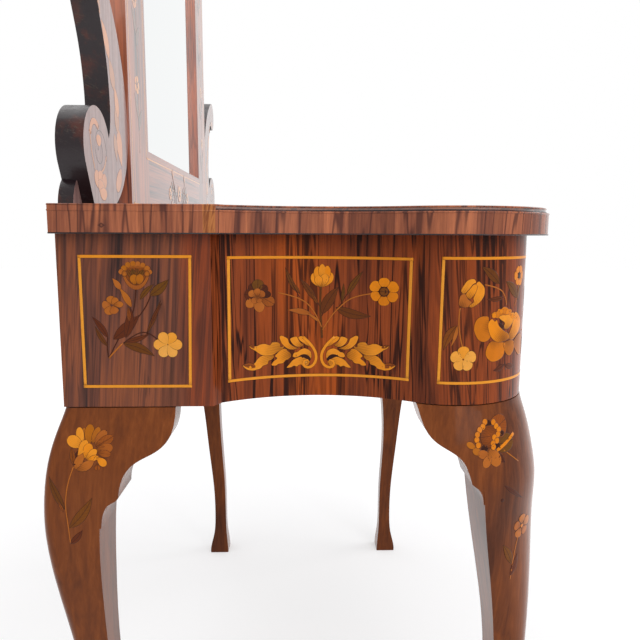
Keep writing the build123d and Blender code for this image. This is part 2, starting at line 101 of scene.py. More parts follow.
class StageSettings(bpy.types.PropertyGroup):
    """Camera and lamps."""
    lens: FloatProperty(name="Lens", description="Focal length on a 36 mm sensor", default=35.0,
                        unit="CAMERA")
    distance: FloatProperty(name="Distance", description="Camera before the left end of the case",
                            default=0.576, unit="LENGTH")
    height: FloatProperty(name="Height", description="Camera above the floor", default=0.760,
                          unit="LENGTH")
    side: FloatProperty(name="Side", description="Camera behind the front of the case", default=0.235,
                        unit="LENGTH")
    down: FloatProperty(name="Down", description="How far the camera looks down",
                        default=math.radians(7.944), unit="ROTATION")
    turn: FloatProperty(name="Turn", description="How far the camera looks to the front",
                        default=math.radians(1.8564), unit="ROTATION")
    roll: FloatProperty(name="Roll", description="Camera's roll", default=math.radians(-0.25),
                        unit="ROTATION")
    sky: FloatProperty(name="Sky", description="Strength of the even light", default=0.55)
    lamp: FloatProperty(name="Lamp", description="Power of the large soft lamp", default=16.0,
                        unit="POWER")


def linked(name, data):
    """A new object of the scene."""
    piece = bpy.data.objects.new(name, data)
    bpy.context.scene.collection.objects.link(piece)
    return piece


# ---- Node trees ----------------------------------------------------------------------------------
class Value:
    """A node's output. Arithmetic on it adds Math nodes."""

    def __init__(self, tree, socket):
        self.tree = tree
        self.socket = socket

    def __add__(self, other):
        return self.tree.math("ADD", self, other)

    def __sub__(self, other):
        return self.tree.math("SUBTRACT", self, other)

    def __rsub__(self, other):
        return self.tree.math("SUBTRACT", other, self)

    def __mul__(self, other):
        return self.tree.math("MULTIPLY", self, other)

    def __pow__(self, other):
        return self.tree.math("POWER", self, other)

    def __lt__(self, other):
        return self.tree.math("LESS_THAN", self, other)

    def __gt__(self, other):
        return self.tree.math("GREATER_THAN", self, other)

    def __abs__(self):
        return self.tree.math("ABSOLUTE", self)

    __radd__ = __add__
    __rmul__ = __mul__

    def clear_of(self, low, high):
        """0 below low, 1 above high and smooth between."""
        return self.tree.add("ShaderNodeMapRange", {"interpolation_type": "SMOOTHSTEP"},
                             {"Value": self, "From Min": low, "From Max": high})


class Tree:
    """A node tree that is written as expressions."""

    def __init__(self, nodes):
        self.nodes = nodes
        self.nodes.nodes.clear()

    def add(self, kind, settings=None, sockets=None, out=0):
        """Adds a node: its settings first, then the values or links of its sockets."""
        node = self.nodes.nodes.new(kind)
        for key, value in (settings or {}).items():
            if key == "stops":
                self.set_stops(node.color_ramp, value)
            else:
                setattr(node, key, value)
        for key, value in (sockets or {}).items():
            if isinstance(value, Value):
                self.nodes.links.new(value.socket, node.inputs[key])
            else:
                node.inputs[key].default_value = value
        return Value(self, node.outputs[out]) if node.outputs else None

    @staticmethod
    def set_stops(ramp, stops):
        while len(ramp.elements) < len(stops):
            ramp.elements.new(1.0)
        for element, (place, shade) in zip(ramp.elements, stops):
            element.position = place
            element.color = (*shade, 1)

    def other(self, value, out):
        """Another output of a value's node."""
        return Value(self, value.socket.node.outputs[out])

    def math(self, operation, *terms):
        """A Math node with its terms in order."""
        return self.add("ShaderNodeMath", {"operation": operation}, dict(enumerate(terms)))

    def split(self, vector):
        """The three numbers of a vector."""
        x = self.add("ShaderNodeSeparateXYZ", None, {0: vector})
        return x, self.other(x, 1), self.other(x, 2)


class Paint(Tree):
    """One material."""

    def __init__(self, name):
        self.material = bpy.data.materials.new(name)
        self.material.use_nodes = True
        super().__init__(self.material.node_tree)

    def place(self, stretch=(1, 1, 1), turn=(0, 0, 0)):
        """Object coordinates, stretched and turned."""
        spot = self.add("ShaderNodeTexCoord", out="Object")
        return self.add("ShaderNodeMapping", {"vector_type": "TEXTURE"},
                        {"Vector": spot, "Scale": stretch, "Rotation": turn})

    def noise(self, vector, scale, detail=3.0, rough=0.5, distortion=0.0):
        return self.add("ShaderNodeTexNoise", None, {
            "Vector": vector, "Scale": scale, "Detail": detail, "Roughness": rough,
            "Distortion": distortion})

    def mix(self, share, first, second, blend="MIX"):
        return self.add("ShaderNodeMix", {"data_type": "RGBA", "blend_type": blend},
                        {0: share, 6: full(first), 7: full(second)}, out=2)

    def tinted(self, body, tint):
        """A colour seen through another."""
        return self.mix(1.0, body, tint, "MULTIPLY")

    def ramp(self, value, stops):
        return self.add("ShaderNodeValToRGB", {"stops": stops}, {"Fac": value})

    def attribute(self, name, out="Fac"):
        return self.add("ShaderNodeAttribute", {"attribute_name": name}, out=out)

    def bump(self, height, strength, distance):
        return self.add("ShaderNodeBump", None, {
            "Height": height, "Strength": strength, "Distance": distance})

    def finish(self, base, roughness, coat=0.0, metallic=0.0, normal=None, coat_roughness=0.06,
               specular=0.5, coat_ior=1.2):
        sockets = {"Base Color": full(base), "Roughness": roughness, "Coat Weight": coat,
                   "Coat Roughness": coat_roughness, "Coat IOR": coat_ior, "Metallic": metallic,
                   "Specular IOR Level": specular}
        if normal is not None:
            sockets["Normal"] = normal
        surface = self.add("ShaderNodeBsdfPrincipled", None, sockets)
        self.add("ShaderNodeOutputMaterial", None, {"Surface": surface})
        return self.material


def full(shade):
    """A colour with its fourth number, or a link as it is."""
    return shade if isinstance(shade, Value) else (*shade, 1)


# ---- Wood ----------------------------------------------------------------------------------------
GRAIN_UP = (1, 1, 26)
GRAIN_ACROSS = (26, 1, 1)
GRAIN_DEEP = (1, 26, 1)
WOOD_SPECULAR = 0.09
GLOSSY = 0.3
# Tint and fade of the painted warm light on the front of each side
PAINTED_LIGHT_TINT = (1.02, 0.66, 0.38)
PAINTED_LIGHT_FADE = 0.022
SIDE_FACE = 0.44  # what lies further out than this belongs to the edge of a side
SAP_FROM, SAP_TO = MIDDLE + 0.0840, MIDDLE + 0.0950  # a strip of pale sapwood in the edge of the top
KNOT_DEPTH, KNOT_HEIGHT = 0.1825, 0.7662


def shaded(paint, body, shade):
    """A colour made lighter or darker by a number."""
    grey = paint.add("ShaderNodeCombineColor", None, {0: shade, 1: shade, 2: shade})
    return paint.tinted(body, grey)


def clear_coat(gloss):
    """The polish over glossy veneer mirrors more."""
    return {"specular": gloss, "coat_roughness": 0.12, "coat_ior": 1.5 if gloss > GLOSSY else 1.2}


def sawn_veneer(name, stretch=GRAIN_UP, turn=(0, 0, 0), warmth=0.5, streaks=0.8, tint=(1, 1, 1),
                polish=None, gloss=WOOD_SPECULAR, painted_light_before=None):
    """Polished veneer with dark streaks along its grain and warm figure in places. Before a given depth
    it is tinted warmer and deeper: painted light on the front of a side, where it turns to the step."""
    veneer = bpy.context.scene.table_veneer
    paint = Paint(name)
    along = paint.place(stretch, turn)
    loose = paint.place(tuple(1 + (n - 1) / 6 for n in stretch), turn)
    wide = paint.noise(along, 28.0, 4.0, 0.55, 0.5)
    lines = paint.noise(along, 120.0, 3.0, 0.6, 0.7)
    hair = paint.noise(along, 700.0, 2.0, 0.6)
    cloud = paint.noise(loose, 13.0, 2.0, 0.5, 0.5)
    body = paint.ramp(wide * 0.42 + lines * 0.58, [
        (0.36, veneer.dark), (0.44, veneer.middle), (0.53, veneer.light), (0.60, veneer.middle),
        (0.67, veneer.dark)])
    figure = cloud.clear_of(0.50, 0.68)
    body = paint.mix(figure * warmth, body, veneer.warm)
    ring = abs(paint.noise(along, 62.0, 2.0, 0.5, 1.2) - 0.5)
    thin = (1 - ring.clear_of(0.006, 0.030)) * (1 - cloud.clear_of(0.52, 0.66) * 0.6)
    bars = lines.clear_of(0.54, 0.62) * wide.clear_of(0.42, 0.56)
    body = paint.mix(thin * streaks, body, veneer.dark)
    body = paint.mix(bars * streaks * 0.8, body, veneer.dark)
    body = paint.tinted(shaded(paint, body, 0.70 + hair * 0.60), tint)
    # painted light: the front of the side, before the given depth, is tinted warmer as if lit
    if painted_light_before is not None:
        _, depth, _ = paint.split(paint.place())
        body = paint.mix(1 - depth.clear_of(painted_light_before, painted_light_before + PAINTED_LIGHT_FADE), body,
                         paint.tinted(body, PAINTED_LIGHT_TINT))
    pores = hair.clear_of(0.62, 0.70)
    return paint.finish(body, 0.34 + 0.12 * hair, polish or veneer.polish,
                        normal=paint.bump(pores, 0.10, 0.0002), **clear_coat(gloss))


VENEERS = {
    "rosewood_veneer": {"tint": (1.1, 0.9, 0.7)},
    # Before the flat part of each side, the flank veneer carries painted warm light
    "flank_veneer": {"turn": (0.075, 0, 0), "warmth": 0.25, "streaks": 0.45, "tint": (1.1, 0.97, 0.86),
                     "gloss": 0.14, "painted_light_before": MIDDLE + KNEE},
    "sweep_veneer": {"warmth": 0.9, "streaks": 1.0, "tint": (1.25, 0.82, 0.50), "polish": 0.4,
                     "gloss": 0.04},
    "corner_veneer": {"turn": (-0.06, 0, 0), "warmth": 0.55, "streaks": 0.8, "tint": (1.22, 0.76, 0.40),
                      "polish": 0.6, "gloss": 0.04},
    "top_veneer": {"stretch": GRAIN_ACROSS, "warmth": 0.6, "streaks": 0.35, "polish": 1.0, "gloss": 0.7},
    # The rail and stile tints lift the wood pale and lilac: painted reflection of the white surroundings,
    # laid over the real reflection of their high gloss
    "rail_veneer": {"stretch": (40, 1, 1), "streaks": 0.2, "tint": (1.8, 1.6, 1.7), "polish": 1.0,
                    "gloss": 0.8},
    "stile_veneer": {"streaks": 0.4, "tint": (1.8, 1.5, 1.5), "polish": 1.0, "gloss": 0.8},
}


def cross_banding():
    """Short lengths of veneer laid side by side round the edge of the top."""
    veneer = bpy.context.scene.table_veneer
    paint = Paint("cross_banding")
    lengths = paint.add("ShaderNodeTexVoronoi", {"feature": "F1"},
                        {"Vector": paint.place((1, 1, 60)), "Scale": 30.0}, out="Color")
    tone = paint.add("ShaderNodeSeparateColor", None, {"Color": lengths})
    along = paint.place((1, 1, 26), (0.04, 0.05, 0))
    wide = paint.noise(along, 60.0, 3.0, 0.6, 0.3)
    lines = paint.noise(along, 300.0, 3.0, 0.6, 0.3)
    hair = paint.noise(along, 900.0, 2.0, 0.6)
    body = paint.ramp(wide * 0.40 + lines * 0.42 + tone * 0.18, [
        (0.30, veneer.middle), (0.42, (0.205, 0.062, 0.034)), (0.52, (0.290, 0.092, 0.045)),
        (0.64, (0.400, 0.130, 0.058))])
    ring = abs(paint.noise(along, 75.0, 1.5, 0.5) - 0.5)
    body = paint.mix((1 - ring.clear_of(0.004, 0.050)) * 0.80, body, (0.060, 0.018, 0.015))
    body = shaded(paint, body, (0.90 + tone * 0.34) * (0.80 + hair * 0.50))
    out, depth, height = paint.split(paint.place())
    sap = (depth > SAP_FROM) * (depth < SAP_TO) * (abs(out) > SIDE_FACE)
    sap_wood = paint.ramp(paint.noise(paint.place((1, 1, 9), (0.20, 0, 0)), 420.0, 2.0),
                          [(0.42, (0.24, 0.070, 0.022)), (0.58, (0.52, 0.190, 0.055))])
    body = paint.mix(sap * 0.85, body, sap_wood)
    off = abs(depth - KNOT_DEPTH) * 290 + abs(height - KNOT_HEIGHT) * 380 + hair * 0.3
    knot = (1 - off.clear_of(0.75, 1.35)) * (out < -SIDE_FACE)
    body = paint.mix(knot * (0.35 + off.clear_of(0.30, 0.85) * 0.55), body, (0.045, 0.014, 0.012))
    return paint.finish(body, 0.36, veneer.polish, normal=paint.bump(hair, 0.10, 0.0002),
                        **clear_coat(WOOD_SPECULAR))


def leg_walnut():
    """Polished walnut with a quiet, slightly curled grain."""
    paint = Paint("leg_walnut")
    along = paint.place((1, 1, 9), (0.05, 0.06, 0))
    wide = paint.noise(paint.place((1, 1, 4), (0.15, 0.10, 0)), 11.0, 2.0, 0.5, 0.8)
    lines = paint.noise(along, 150.0, 3.0, 0.55, 0.6)
    hair = paint.noise(along, 520.0, 2.0, 0.6)
    body = paint.ramp(wide * 0.62 + lines * 0.38, [
        (0.32, (0.070, 0.021, 0.010)), (0.44, (0.130, 0.037, 0.014)), (0.56, (0.200, 0.055, 0.016)),
        (0.70, (0.275, 0.080, 0.022))])
    body = shaded(paint, body, 0.78 + hair * 0.44)
    return paint.finish(body, 0.34, 0.45, normal=paint.bump(hair, 0.08, 0.0002), specular=0.03,
                        coat_roughness=0.10)


def ebonised():
    """Blackened edges, rubbed through to brown in places and finely scratched. Faces that look to
    the front or back are veneered and polished."""
    paint = Paint("ebonised")
    wide = paint.noise(paint.place(), 26.0, 4.0, 0.6, 0.3)
    worn = wide.clear_of(0.50, 0.66)
    scratch = paint.noise(paint.place((1, 6, 1), (0.4, 0.3, 0.2)), 420.0, 4.0, 0.7,
                          1.2).clear_of(0.58, 0.66)
    body = paint.mix(worn * 0.8, (0.012, 0.005, 0.007), (0.080, 0.016, 0.008))
    body = paint.mix(scratch * wide.clear_of(0.46, 0.60) * 0.5, body, (0.110, 0.085, 0.045))
    _, facing, _ = paint.split(paint.add("ShaderNodeTexCoord", out="Normal"))
    face = abs(facing).clear_of(0.90, 0.98)
    grain = paint.noise(paint.place(GRAIN_UP), 110.0, 3.0, 0.6, 0.6)
    body = paint.mix(face, body,
                     paint.ramp(grain, [(0.38, (0.240, 0.135, 0.125)), (0.60, (0.360, 0.210, 0.190))]))
    rough = 0.22 + 0.28 * paint.noise(paint.place(), 140.0, 3.0)
    return paint.finish(body, rough, 0.25 + face * 0.75, specular=0.22, coat_roughness=0.16,
                        coat_ior=1.5,
                        normal=paint.bump((wide + scratch * 0.3) * (1 - face), 0.45, 0.0016))


def plain_oak(name, stretch):
    """Planed oak, unpolished."""
    paint = Paint(name)
    along = paint.place(stretch)
    wide = paint.noise(along, 24.0, 4.0, 0.55, 0.6)
    hair = paint.noise(along, 420.0, 3.0, 0.6)
    body = paint.ramp(wide, [(0.30, (0.180, 0.095, 0.042)), (0.52, (0.330, 0.190, 0.090)),
                             (0.74, (0.430, 0.270, 0.140))])
    body = shaded(paint, body, 0.74 + hair * 0.52)
    return paint.finish(body, 0.72 - 0.15 * hair, specular=0.3, normal=paint.bump(hair, 0.3, 0.0004))


def inlay_wood(name, polish=None, gloss=0.05):
    """Every inlaid wood, by the attributes of its plates: wood, scorch, rim and grain."""
    paint = Paint(name)
    veneer = bpy.context.scene.table_veneer
    wood = paint.attribute("wood")
    scorch = paint.attribute("scorch")
    rim = paint.attribute("rim")
    grain = paint.attribute("grain", "Vector")
    fine = paint.noise(paint.add("ShaderNodeMapping", {"vector_type": "TEXTURE"},
                                 {"Vector": grain, "Scale": (9, 1, 1)}), 1.9, 3.0, 0.6)
    cloud = paint.noise(grain, 0.16, 2.0)
    body = paint.ramp(wood, [
        (0.00, (0.92, 0.48, 0.12)), (0.12, (0.90, 0.35, 0.036)), (0.24, (0.86, 0.260, 0.008)),
        (0.36, (0.66, 0.185, 0.009)), (0.44, (0.47, 0.140, 0.008)), (0.52, (0.49, 0.140, 0.022)),
        (0.62, (0.300, 0.070, 0.010)), (0.74, (0.165, 0.060, 0.007)), (0.86, (0.145, 0.030, 0.008)),
        (1.00, (0.026, 0.008, 0.005))])
    body = shaded(paint, body, (0.80 + fine * 0.28) * (0.86 + cloud * 0.26))
    burnt = paint.mix(0.80, body, (0.120, 0.030, 0.006))
    body = paint.mix(scorch.clear_of(0.20, 1.10), body, burnt)
    run, across, _ = paint.split(grain)
    wave = abs(paint.math("SINE", across * 1.9))
    vein = (1 - wave.clear_of(0.05, 0.35)) * scorch.clear_of(0.22, 0.55)
    body = paint.mix(vein * 0.70, body, (0.060, 0.016, 0.006))
    leafy = wood.clear_of(0.57, 0.60) * (1 - wood.clear_of(0.93, 0.95))
    rib = 1 - abs(across).clear_of(0.15, 0.50)
    body = paint.mix(rib * leafy * 0.65, body, (0.040, 0.012, 0.008))
    slant = paint.math("SINE", (run - abs(across) * 1.3) * 1.6)
    body = paint.mix(slant.clear_of(0.80, 0.98) * leafy * 0.30, body, (0.045, 0.014, 0.008))
    body = paint.mix(1 - rim.clear_of(0.25, 0.75), body, (0.030, 0.011, 0.009))
    return paint.finish(body, 0.36, polish or veneer.polish / 2, normal=paint.bump(fine, 0.08, 0.0002),
                        **clear_coat(gloss))


def brass():
    """Old brass, a little dull in places."""
    paint = Paint("brass")
    cloud = paint.noise(paint.place(), 160.0, 3.0)
    body = paint.ramp(cloud, [(0.3, (0.52, 0.33, 0.11)), (0.7, (0.80, 0.56, 0.22))])
    return paint.finish(body, 0.20 + 0.18 * cloud, metallic=1.0)


def steel():
    """Turned steel of screws and lock."""
    paint = Paint("steel")
    turned = paint.noise(paint.place((1, 1, 12)), 700.0, 2.0)
    body = paint.ramp(turned, [(0.3, (0.32, 0.32, 0.33)), (0.7, (0.56, 0.56, 0.57))])
    return paint.finish(body, 0.30 + 0.2 * turned, metallic=1.0)


def silvered_glass():
    """Old mirror glass with a trace of foxing."""
    paint = Paint("silvered_glass")
    foxing = paint.noise(paint.place(), 60.0, 5.0, 0.7).clear_of(0.66, 0.80)
    body = paint.mix(foxing * 0.25, (0.88, 0.90, 0.90), (0.50, 0.47, 0.42))
    return paint.finish(body, 0.015 + foxing * 0.06, metallic=1.0)


# ---- Flat plates ---------------------------------------------------------------------------------
FORMS = {  # how a plate's width runs from root to tip: where it is widest, and how full it is
    "leaf": (0.80, 0.95),
    "drop": (1.00, 0.60),
    "petal": (1.55, 0.52),
    "blunt": (1.25, 0.40),
}
# In millimetres
BASE_LIFT = 0.12  # the first plate's face above the surface
LIFT_STEP = 0.003  # what each next plate lies higher
KERF = 0.62  # width of a plate's dark rim
LATTICE = 3.0  # between the points inside a free outline
LOG = 400  # each plate is cut from somewhere along this length of wood
# In metres
WELD = 2e-6  # corners nearer than this become one
SAME_HEIGHT = 1e-5


class Plates:
    """The flat plates of one panel, in millimetres. Each lies a hair above the one before it."""

    def __init__(self, share=1.0, material="inlay"):
        self.points = []
        self.faces = []
        self.marks = []
        self.rise = BASE_LIFT * share
        self.step = LIFT_STEP * share
        self.material = material
        self.dice = random.Random(bpy.context.scene.table_marquetry.seed)

    def grid(self, rows, marks):
        """A plate from rows of points."""
        base = len(self.points)
        wide = len(rows[0])
        self.rise += self.step
        for row, row_marks in zip(rows, marks):
            self.points += [(u, v, self.rise) for u, v in row]
            self.marks += row_marks
        for r in range(len(rows) - 1):
            for c in range(wide - 1):
                a = base + r * wide + c
                self.faces.append((a, a + 1, a + wide + 1, a + wide))

    def swept(self, spine, widths, wood, scorch):
        """A plate along a spine of (share, place, heading), with a width at each place."""
        offset = self.dice.uniform(0, LOG)
        wood = wood + self.dice.uniform(-0.025, 0.025)
        rows, marks = [], []
        run, before = 0.0, spine[0][1]
        for i, ((t, place, heading), width) in enumerate(zip(spine, widths)):
            run += (place - before).length
            before = place
            aside = Vector((-heading.y, heading.x))
            k = max(0.55, 1 - KERF / max(width, 0.01))
            row, row_marks = [], []
            for s in (-1, -k, -k / 2, 0, k / 2, k, 1):
                p = place + aside * s * width
                row.append((p.x, p.y))
                edge = abs(s) == 1 or i in (0, len(spine) - 1)
                row_marks.append((wood, scorch * (1 - t) ** 1.5, 0.0 if edge else 1.0, offset + run,
                                  s * width))
            rows.append(row)
            marks.append(row_marks)
        self.grid(rows, marks)

    @staticmethod
    def bent(root, tip, bend, steps=11):
        """A spine from root to tip that bends to its left."""
        root, tip = Vector(root), Vector(tip)
        reach = tip - root
        middle = (root + tip) / 2 + Vector((-reach.y, reach.x)) * bend
        spine = []
        for i in range(steps + 1):
            t = (1 - math.cos(math.pi * i / steps)) / 2
            place = root * (1 - t) ** 2 + middle * 2 * t * (1 - t) + tip * t * t
            heading = ((middle - root) * (1 - t) + (tip - middle) * t).normalized()
            spine.append((t, place, heading))
        return spine

    def blade(self, root, tip, half_width, wood, form="leaf", bend=0.0, scorch=0.5):
        """A leaf or petal from its root to its tip."""
        widest, fullness = FORMS[form]
        spine = self.bent(root, tip, bend)
        widths = [half_width * max(0.0, math.sin(math.pi * t ** widest)) ** fullness for t, _,
                  _ in spine]
        self.swept(spine, widths, wood, scorch)

    def blades(self, form, *rows):
        """Several blades: root, tip, half width, wood, and if needed bend and scorch."""
        for root, tip, half_width, wood, *rest in rows:
            self.blade(root, tip, half_width, wood, form, *rest)

    def cup(self, root, tip, half_width, wood, scorch=0.6):
        """A round-bottomed cup with a straight top."""
        spine = self.bent(root, tip, 0.0)
        self.swept(spine, [half_width * math.sqrt(max(0.0, 1 - (1 - t) ** 2)) for t, _, _ in spine],
                   wood, scorch)

    def leaf(self, root, outline, wood, scorch=0.7, tip=None):
        """A plate with a free, lobed outline. Its wood darkens towards its root."""
        root = Vector(root)
        line = rounded(outline)
        rim = [Vector(p) for p in inward(line, KERF)]
        tip = Vector(tip) if tip else max(rim, key=lambda p: (p - root).length)
        run = (tip - root).normalized()
        loops = [Vector(p) for p in line], rim
        points = loops[0] + loops[1]
        edges = [(base + i, base + (i + 1) % len(line))
                 for base in (0, len(line)) for i in range(len(line))]
        places, _, faces, origin, _, _ = delaunay_2d_cdt(
            points + spread_over(rim, LATTICE), edges, [tuple(range(len(line)))], 1, 1e-5)
        base = len(self.points)
        self.rise += self.step
        offset = self.dice.uniform(0, LOG)
        wood = wood + self.dice.uniform(-0.02, 0.02)
        for place, source in zip(places, origin):
            away = place - root
            t = min(1.0, away.length / (tip - root).length)
            edge = not source or min(source) < len(line)
            across = away.x * run.y - away.y * run.x
            self.points.append((place.x, place.y, self.rise))
            self.marks.append((wood, scorch * (1 - t) ** 1.3, 0.0 if edge else 1.0,
                               offset + away.dot(run), across))
        self.faces += [tuple(base + v for v in face) for face in faces]

    def take(self, mesh):
        """Adds a flat mesh that a tree of nodes has made."""
        base = len(self.points)
        self.rise += self.step
        read = mesh.attributes
        grain = read["grain"].data
        top = 0.0
        for i, vertex in enumerate(mesh.vertices):
            top = max(top, vertex.co.z)
            self.points.append((vertex.co.x, vertex.co.y, vertex.co.z + self.rise))
            mark = [read[name].data[i].value for name in ("wood", "scorch", "rim")]
            self.marks.append((*mark, grain[i].vector.x, grain[i].vector.y))
        for face in mesh.polygons:
            self.faces.append(tuple(base + v for v in face.vertices))
        self.rise += top
        bpy.data.meshes.remove(mesh)

    def band(self, width, wood, *lines, smooth=True, taper=1.0):
        """Narrow bands along lines of points, such as stems and stringing."""
        self.take(grown(TREES["band"], lines, smooth, taper,
                        {"Width": width, "Wood": wood, "Step": 3.0}))

    def petals(self, line, count, length, half_width, wood, closed=False, form="petal", spread=0.05,
               scorch=0.75, turn=0.0):
        """A row of petals that point to the left of a line."""
        widest, fullness = FORMS[form]
        self.take(grown(TREES["petals"], [line], not closed, 1.0, {
            "Count": count, "Length": length, "Half width": half_width, "Widest": widest,
            "Fullness": fullness, "Wood": wood, "Spread": spread, "Scorch": scorch, "Turn": turn,
            "Lift": self.step, "Seed": self.dice.randrange(1000)}, closed))

    def flower(self, at, count, inner, length, half_width, wood, turn=0.0, heart=None, form="petal",
               scorch=0.75, spread=0.05):
        """Petals in a ring, with a round heart if one is named."""
        ring = []
        for i in range(count):
            angle = math.radians(turn) - math.tau * i / count
            ring.append((at[0] + inner * math.cos(angle), at[1] + inner * math.sin(angle)))
        self.petals(ring, count, length, half_width, wood, True, form, spread, scorch)
        if heart is not None:
            self.disc(at, inner * 1.05, heart)

    def disc(self, at, radius, wood, stretch=1.0, scorch=0.1):
        """A round or oval plate."""
        turns = 18
        rows, marks = [], []
        rim = max(0.5, 1 - KERF / radius)
        for share in (0.0, 0.45, rim, 1.0):
            row, row_marks = [], []
            for i in range(turns + 1):
                angle = math.tau * (i % turns) / turns
                u = radius * share * math.cos(angle)
                v = radius * share * stretch * math.sin(angle)
                row.append((at[0] + u, at[1] + v))
                row_marks.append((wood, scorch * (0.4 + share), 0.0 if share == 1 else 1.0, u, v))
            rows.append(row)
            marks.append(row_marks)
        self.grid(rows, marks)

    def frame_line(self, *corners):
        """Stringing round a panel, from its four corners: foot, foot, head, head."""
        settings = bpy.context.scene.table_marquetry
        width = settings.string_width / MM
        for i in range(4):
            a, b = Vector(corners[i]), Vector(corners[(i + 1) % 4])
            trim = (b - a).normalized() * width / 2
            line = [a - trim, b + trim] if i % 2 == 0 else [a + trim, b - trim]
            wood = settings.string_wood + self.dice.uniform(-0.05, 0.05)
            self.band(width, wood, [tuple(p) for p in line], smooth=False)

    def lay(self, name, surface, body="case", slot="rosewood_veneer", both_sides=False):
        """Bends the plates on to a surface and makes them one piece, or one for each side."""
        points = []
        for u, v, lift in self.points:
            point, normal = surface(u, v)
            points.append(point + normal * lift * MM)
        faces, turned = [], None
        for face in self.faces:
            flat = [self.points[i] for i in face]
            area = sum(a[0] * b[1] - b[0] * a[1] for a, b in zip(flat, flat[1:] + flat[:1]))
            if abs(area) < 1e-4:
                continue
            face = face if area > 0 else tuple(reversed(face))
            if turned is None and abs(area) > 1:
                across = points[face[1]] - points[face[0]], points[face[2]] - points[face[0]]
                turned = across[0].cross(across[1]).dot(surface(*flat[0][:2])[1]) < 0
            faces.append(face)
        if turned:
            faces = [tuple(reversed(f)) for f in faces]
        if not both_sides:
            return [self.piece(name, points, faces, body, slot)]
        mirrored = [Vector((-p.x, p.y, p.z)) for p in points]
        backwards = [tuple(reversed(f)) for f in faces]
        return [self.piece(name + "_left", points, faces, body, slot),
                self.piece(name + "_right", mirrored, backwards, body, slot)]

    def piece(self, name, points, faces, body, slot):
        """One object from bent plates. It rides with its body."""
        mesh = bpy.data.meshes.new(name)
        mesh.from_pydata(points, [], faces)
        for k, key in enumerate(("wood", "scorch", "rim")):
            mesh.attributes.new(key, "FLOAT", "POINT").data.foreach_set("value",
                                                                        [m[k] for m in self.marks])
        grain = [n for m in self.marks for n in (m[3], m[4], 0.0)]
        mesh.attributes.new("grain", "FLOAT_VECTOR", "POINT").data.foreach_set("vector", grain)
        joined = bmesh.new()
        joined.from_mesh(mesh)
        bmesh.ops.remove_doubles(joined, verts=joined.verts, dist=WELD)
        stray = [v for v in joined.verts if not v.link_faces]
        bmesh.ops.delete(joined, geom=stray, context="VERTS")
        joined.to_mesh(mesh)
        joined.free()
        mesh.materials.append(MATERIALS[self.material])
        mesh.shade_smooth()
        piece = linked(name, mesh)
        solid = piece.modifiers.new("thickness", "SOLIDIFY")
        solid.thickness = bpy.context.scene.table_marquetry.thickness
        solid.offset = -1
        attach(piece, body)
        return piece


def rounded(outline, steps=4):
    """A closed line that runs smoothly through the points of an outline."""
    line = []
    count = len(outline)
    for i in range(count):
        a, b, c, d = (Vector(outline[(i + k) % count]) for k in (-1, 0, 1, 2))
        for k in range(steps):
            t = k / steps
            place = 0.5 * (2 * b + (c - a) * t + (2 * a - 5 * b + 4 * c - d) * t * t
                           + (3 * b - a - 3 * c + d) * t ** 3)
            line.append((place.x, place.y))
    return line


def spread_over(line, gap):
    """Points of a grid that lie inside a closed line."""
    low = Vector((min(p.x for p in line), min(p.y for p in line)))
    high = Vector((max(p.x for p in line), max(p.y for p in line)))
    found = []
    for i in range(1, int((high.x - low.x) / gap) + 1):
        for j in range(1, int((high.y - low.y) / gap) + 1):
            x, y = low.x + i * gap, low.y + j * gap
            crossings = 0
            for a, b in zip(line, line[1:] + line[:1]):
                if (a.y > y) != (b.y > y) and x < a.x + (y - a.y) / (b.y - a.y) * (b.x - a.x):
                    crossings += 1
            if crossings % 2:
                found.append(Vector((x, y)))
    return found


# ---- Geometry node trees -------------------------------------------------------------------------
TREES = {}
MATERIALS = {}


class Growth(Tree):
    """A geometry tree with named inputs."""

    def __init__(self, name, inputs):
        group = bpy.data.node_groups.new(name, "GeometryNodeTree")
        super().__init__(group)
        group.interface.new_socket("Geometry", in_out="INPUT", socket_type="NodeSocketGeometry")
        for key, (kind, value) in inputs.items():
            socket = group.interface.new_socket(key, in_out="INPUT", socket_type="NodeSocket" + kind)
            if value is not None:
                socket.default_value = value
        group.interface.new_socket("Geometry", in_out="OUTPUT", socket_type="NodeSocketGeometry")
        self.start = self.add("NodeGroupInput")
        self.group = group

    def input(self, key):
        """One of the tree's own inputs."""
        return self.other(self.start, key)

    def store(self, geometry, name, value, kind="FLOAT", domain="POINT"):
        """Geometry that carries a value by name."""
        return self.add("GeometryNodeStoreNamedAttribute", {"data_type": kind, "domain": domain},
                        {"Geometry": geometry, "Name": name, "Value": value})

    def vector(self, x=0.0, y=0.0, z=0.0):
        """A vector from its three numbers."""
        return self.add("ShaderNodeCombineXYZ", None, {0: x, 1: y, 2: z})

    def end(self, geometry):
        """Realizes what the tree repeats, and gives it its wood."""
        plain = self.add("GeometryNodeRealizeInstances", None, {"Geometry": geometry})
        wood = self.add("GeometryNodeSetMaterial", None,
                        {"Geometry": plain, "Material": self.input("Material")})
        self.add("NodeGroupOutput", None, {0: wood})
        return self.group


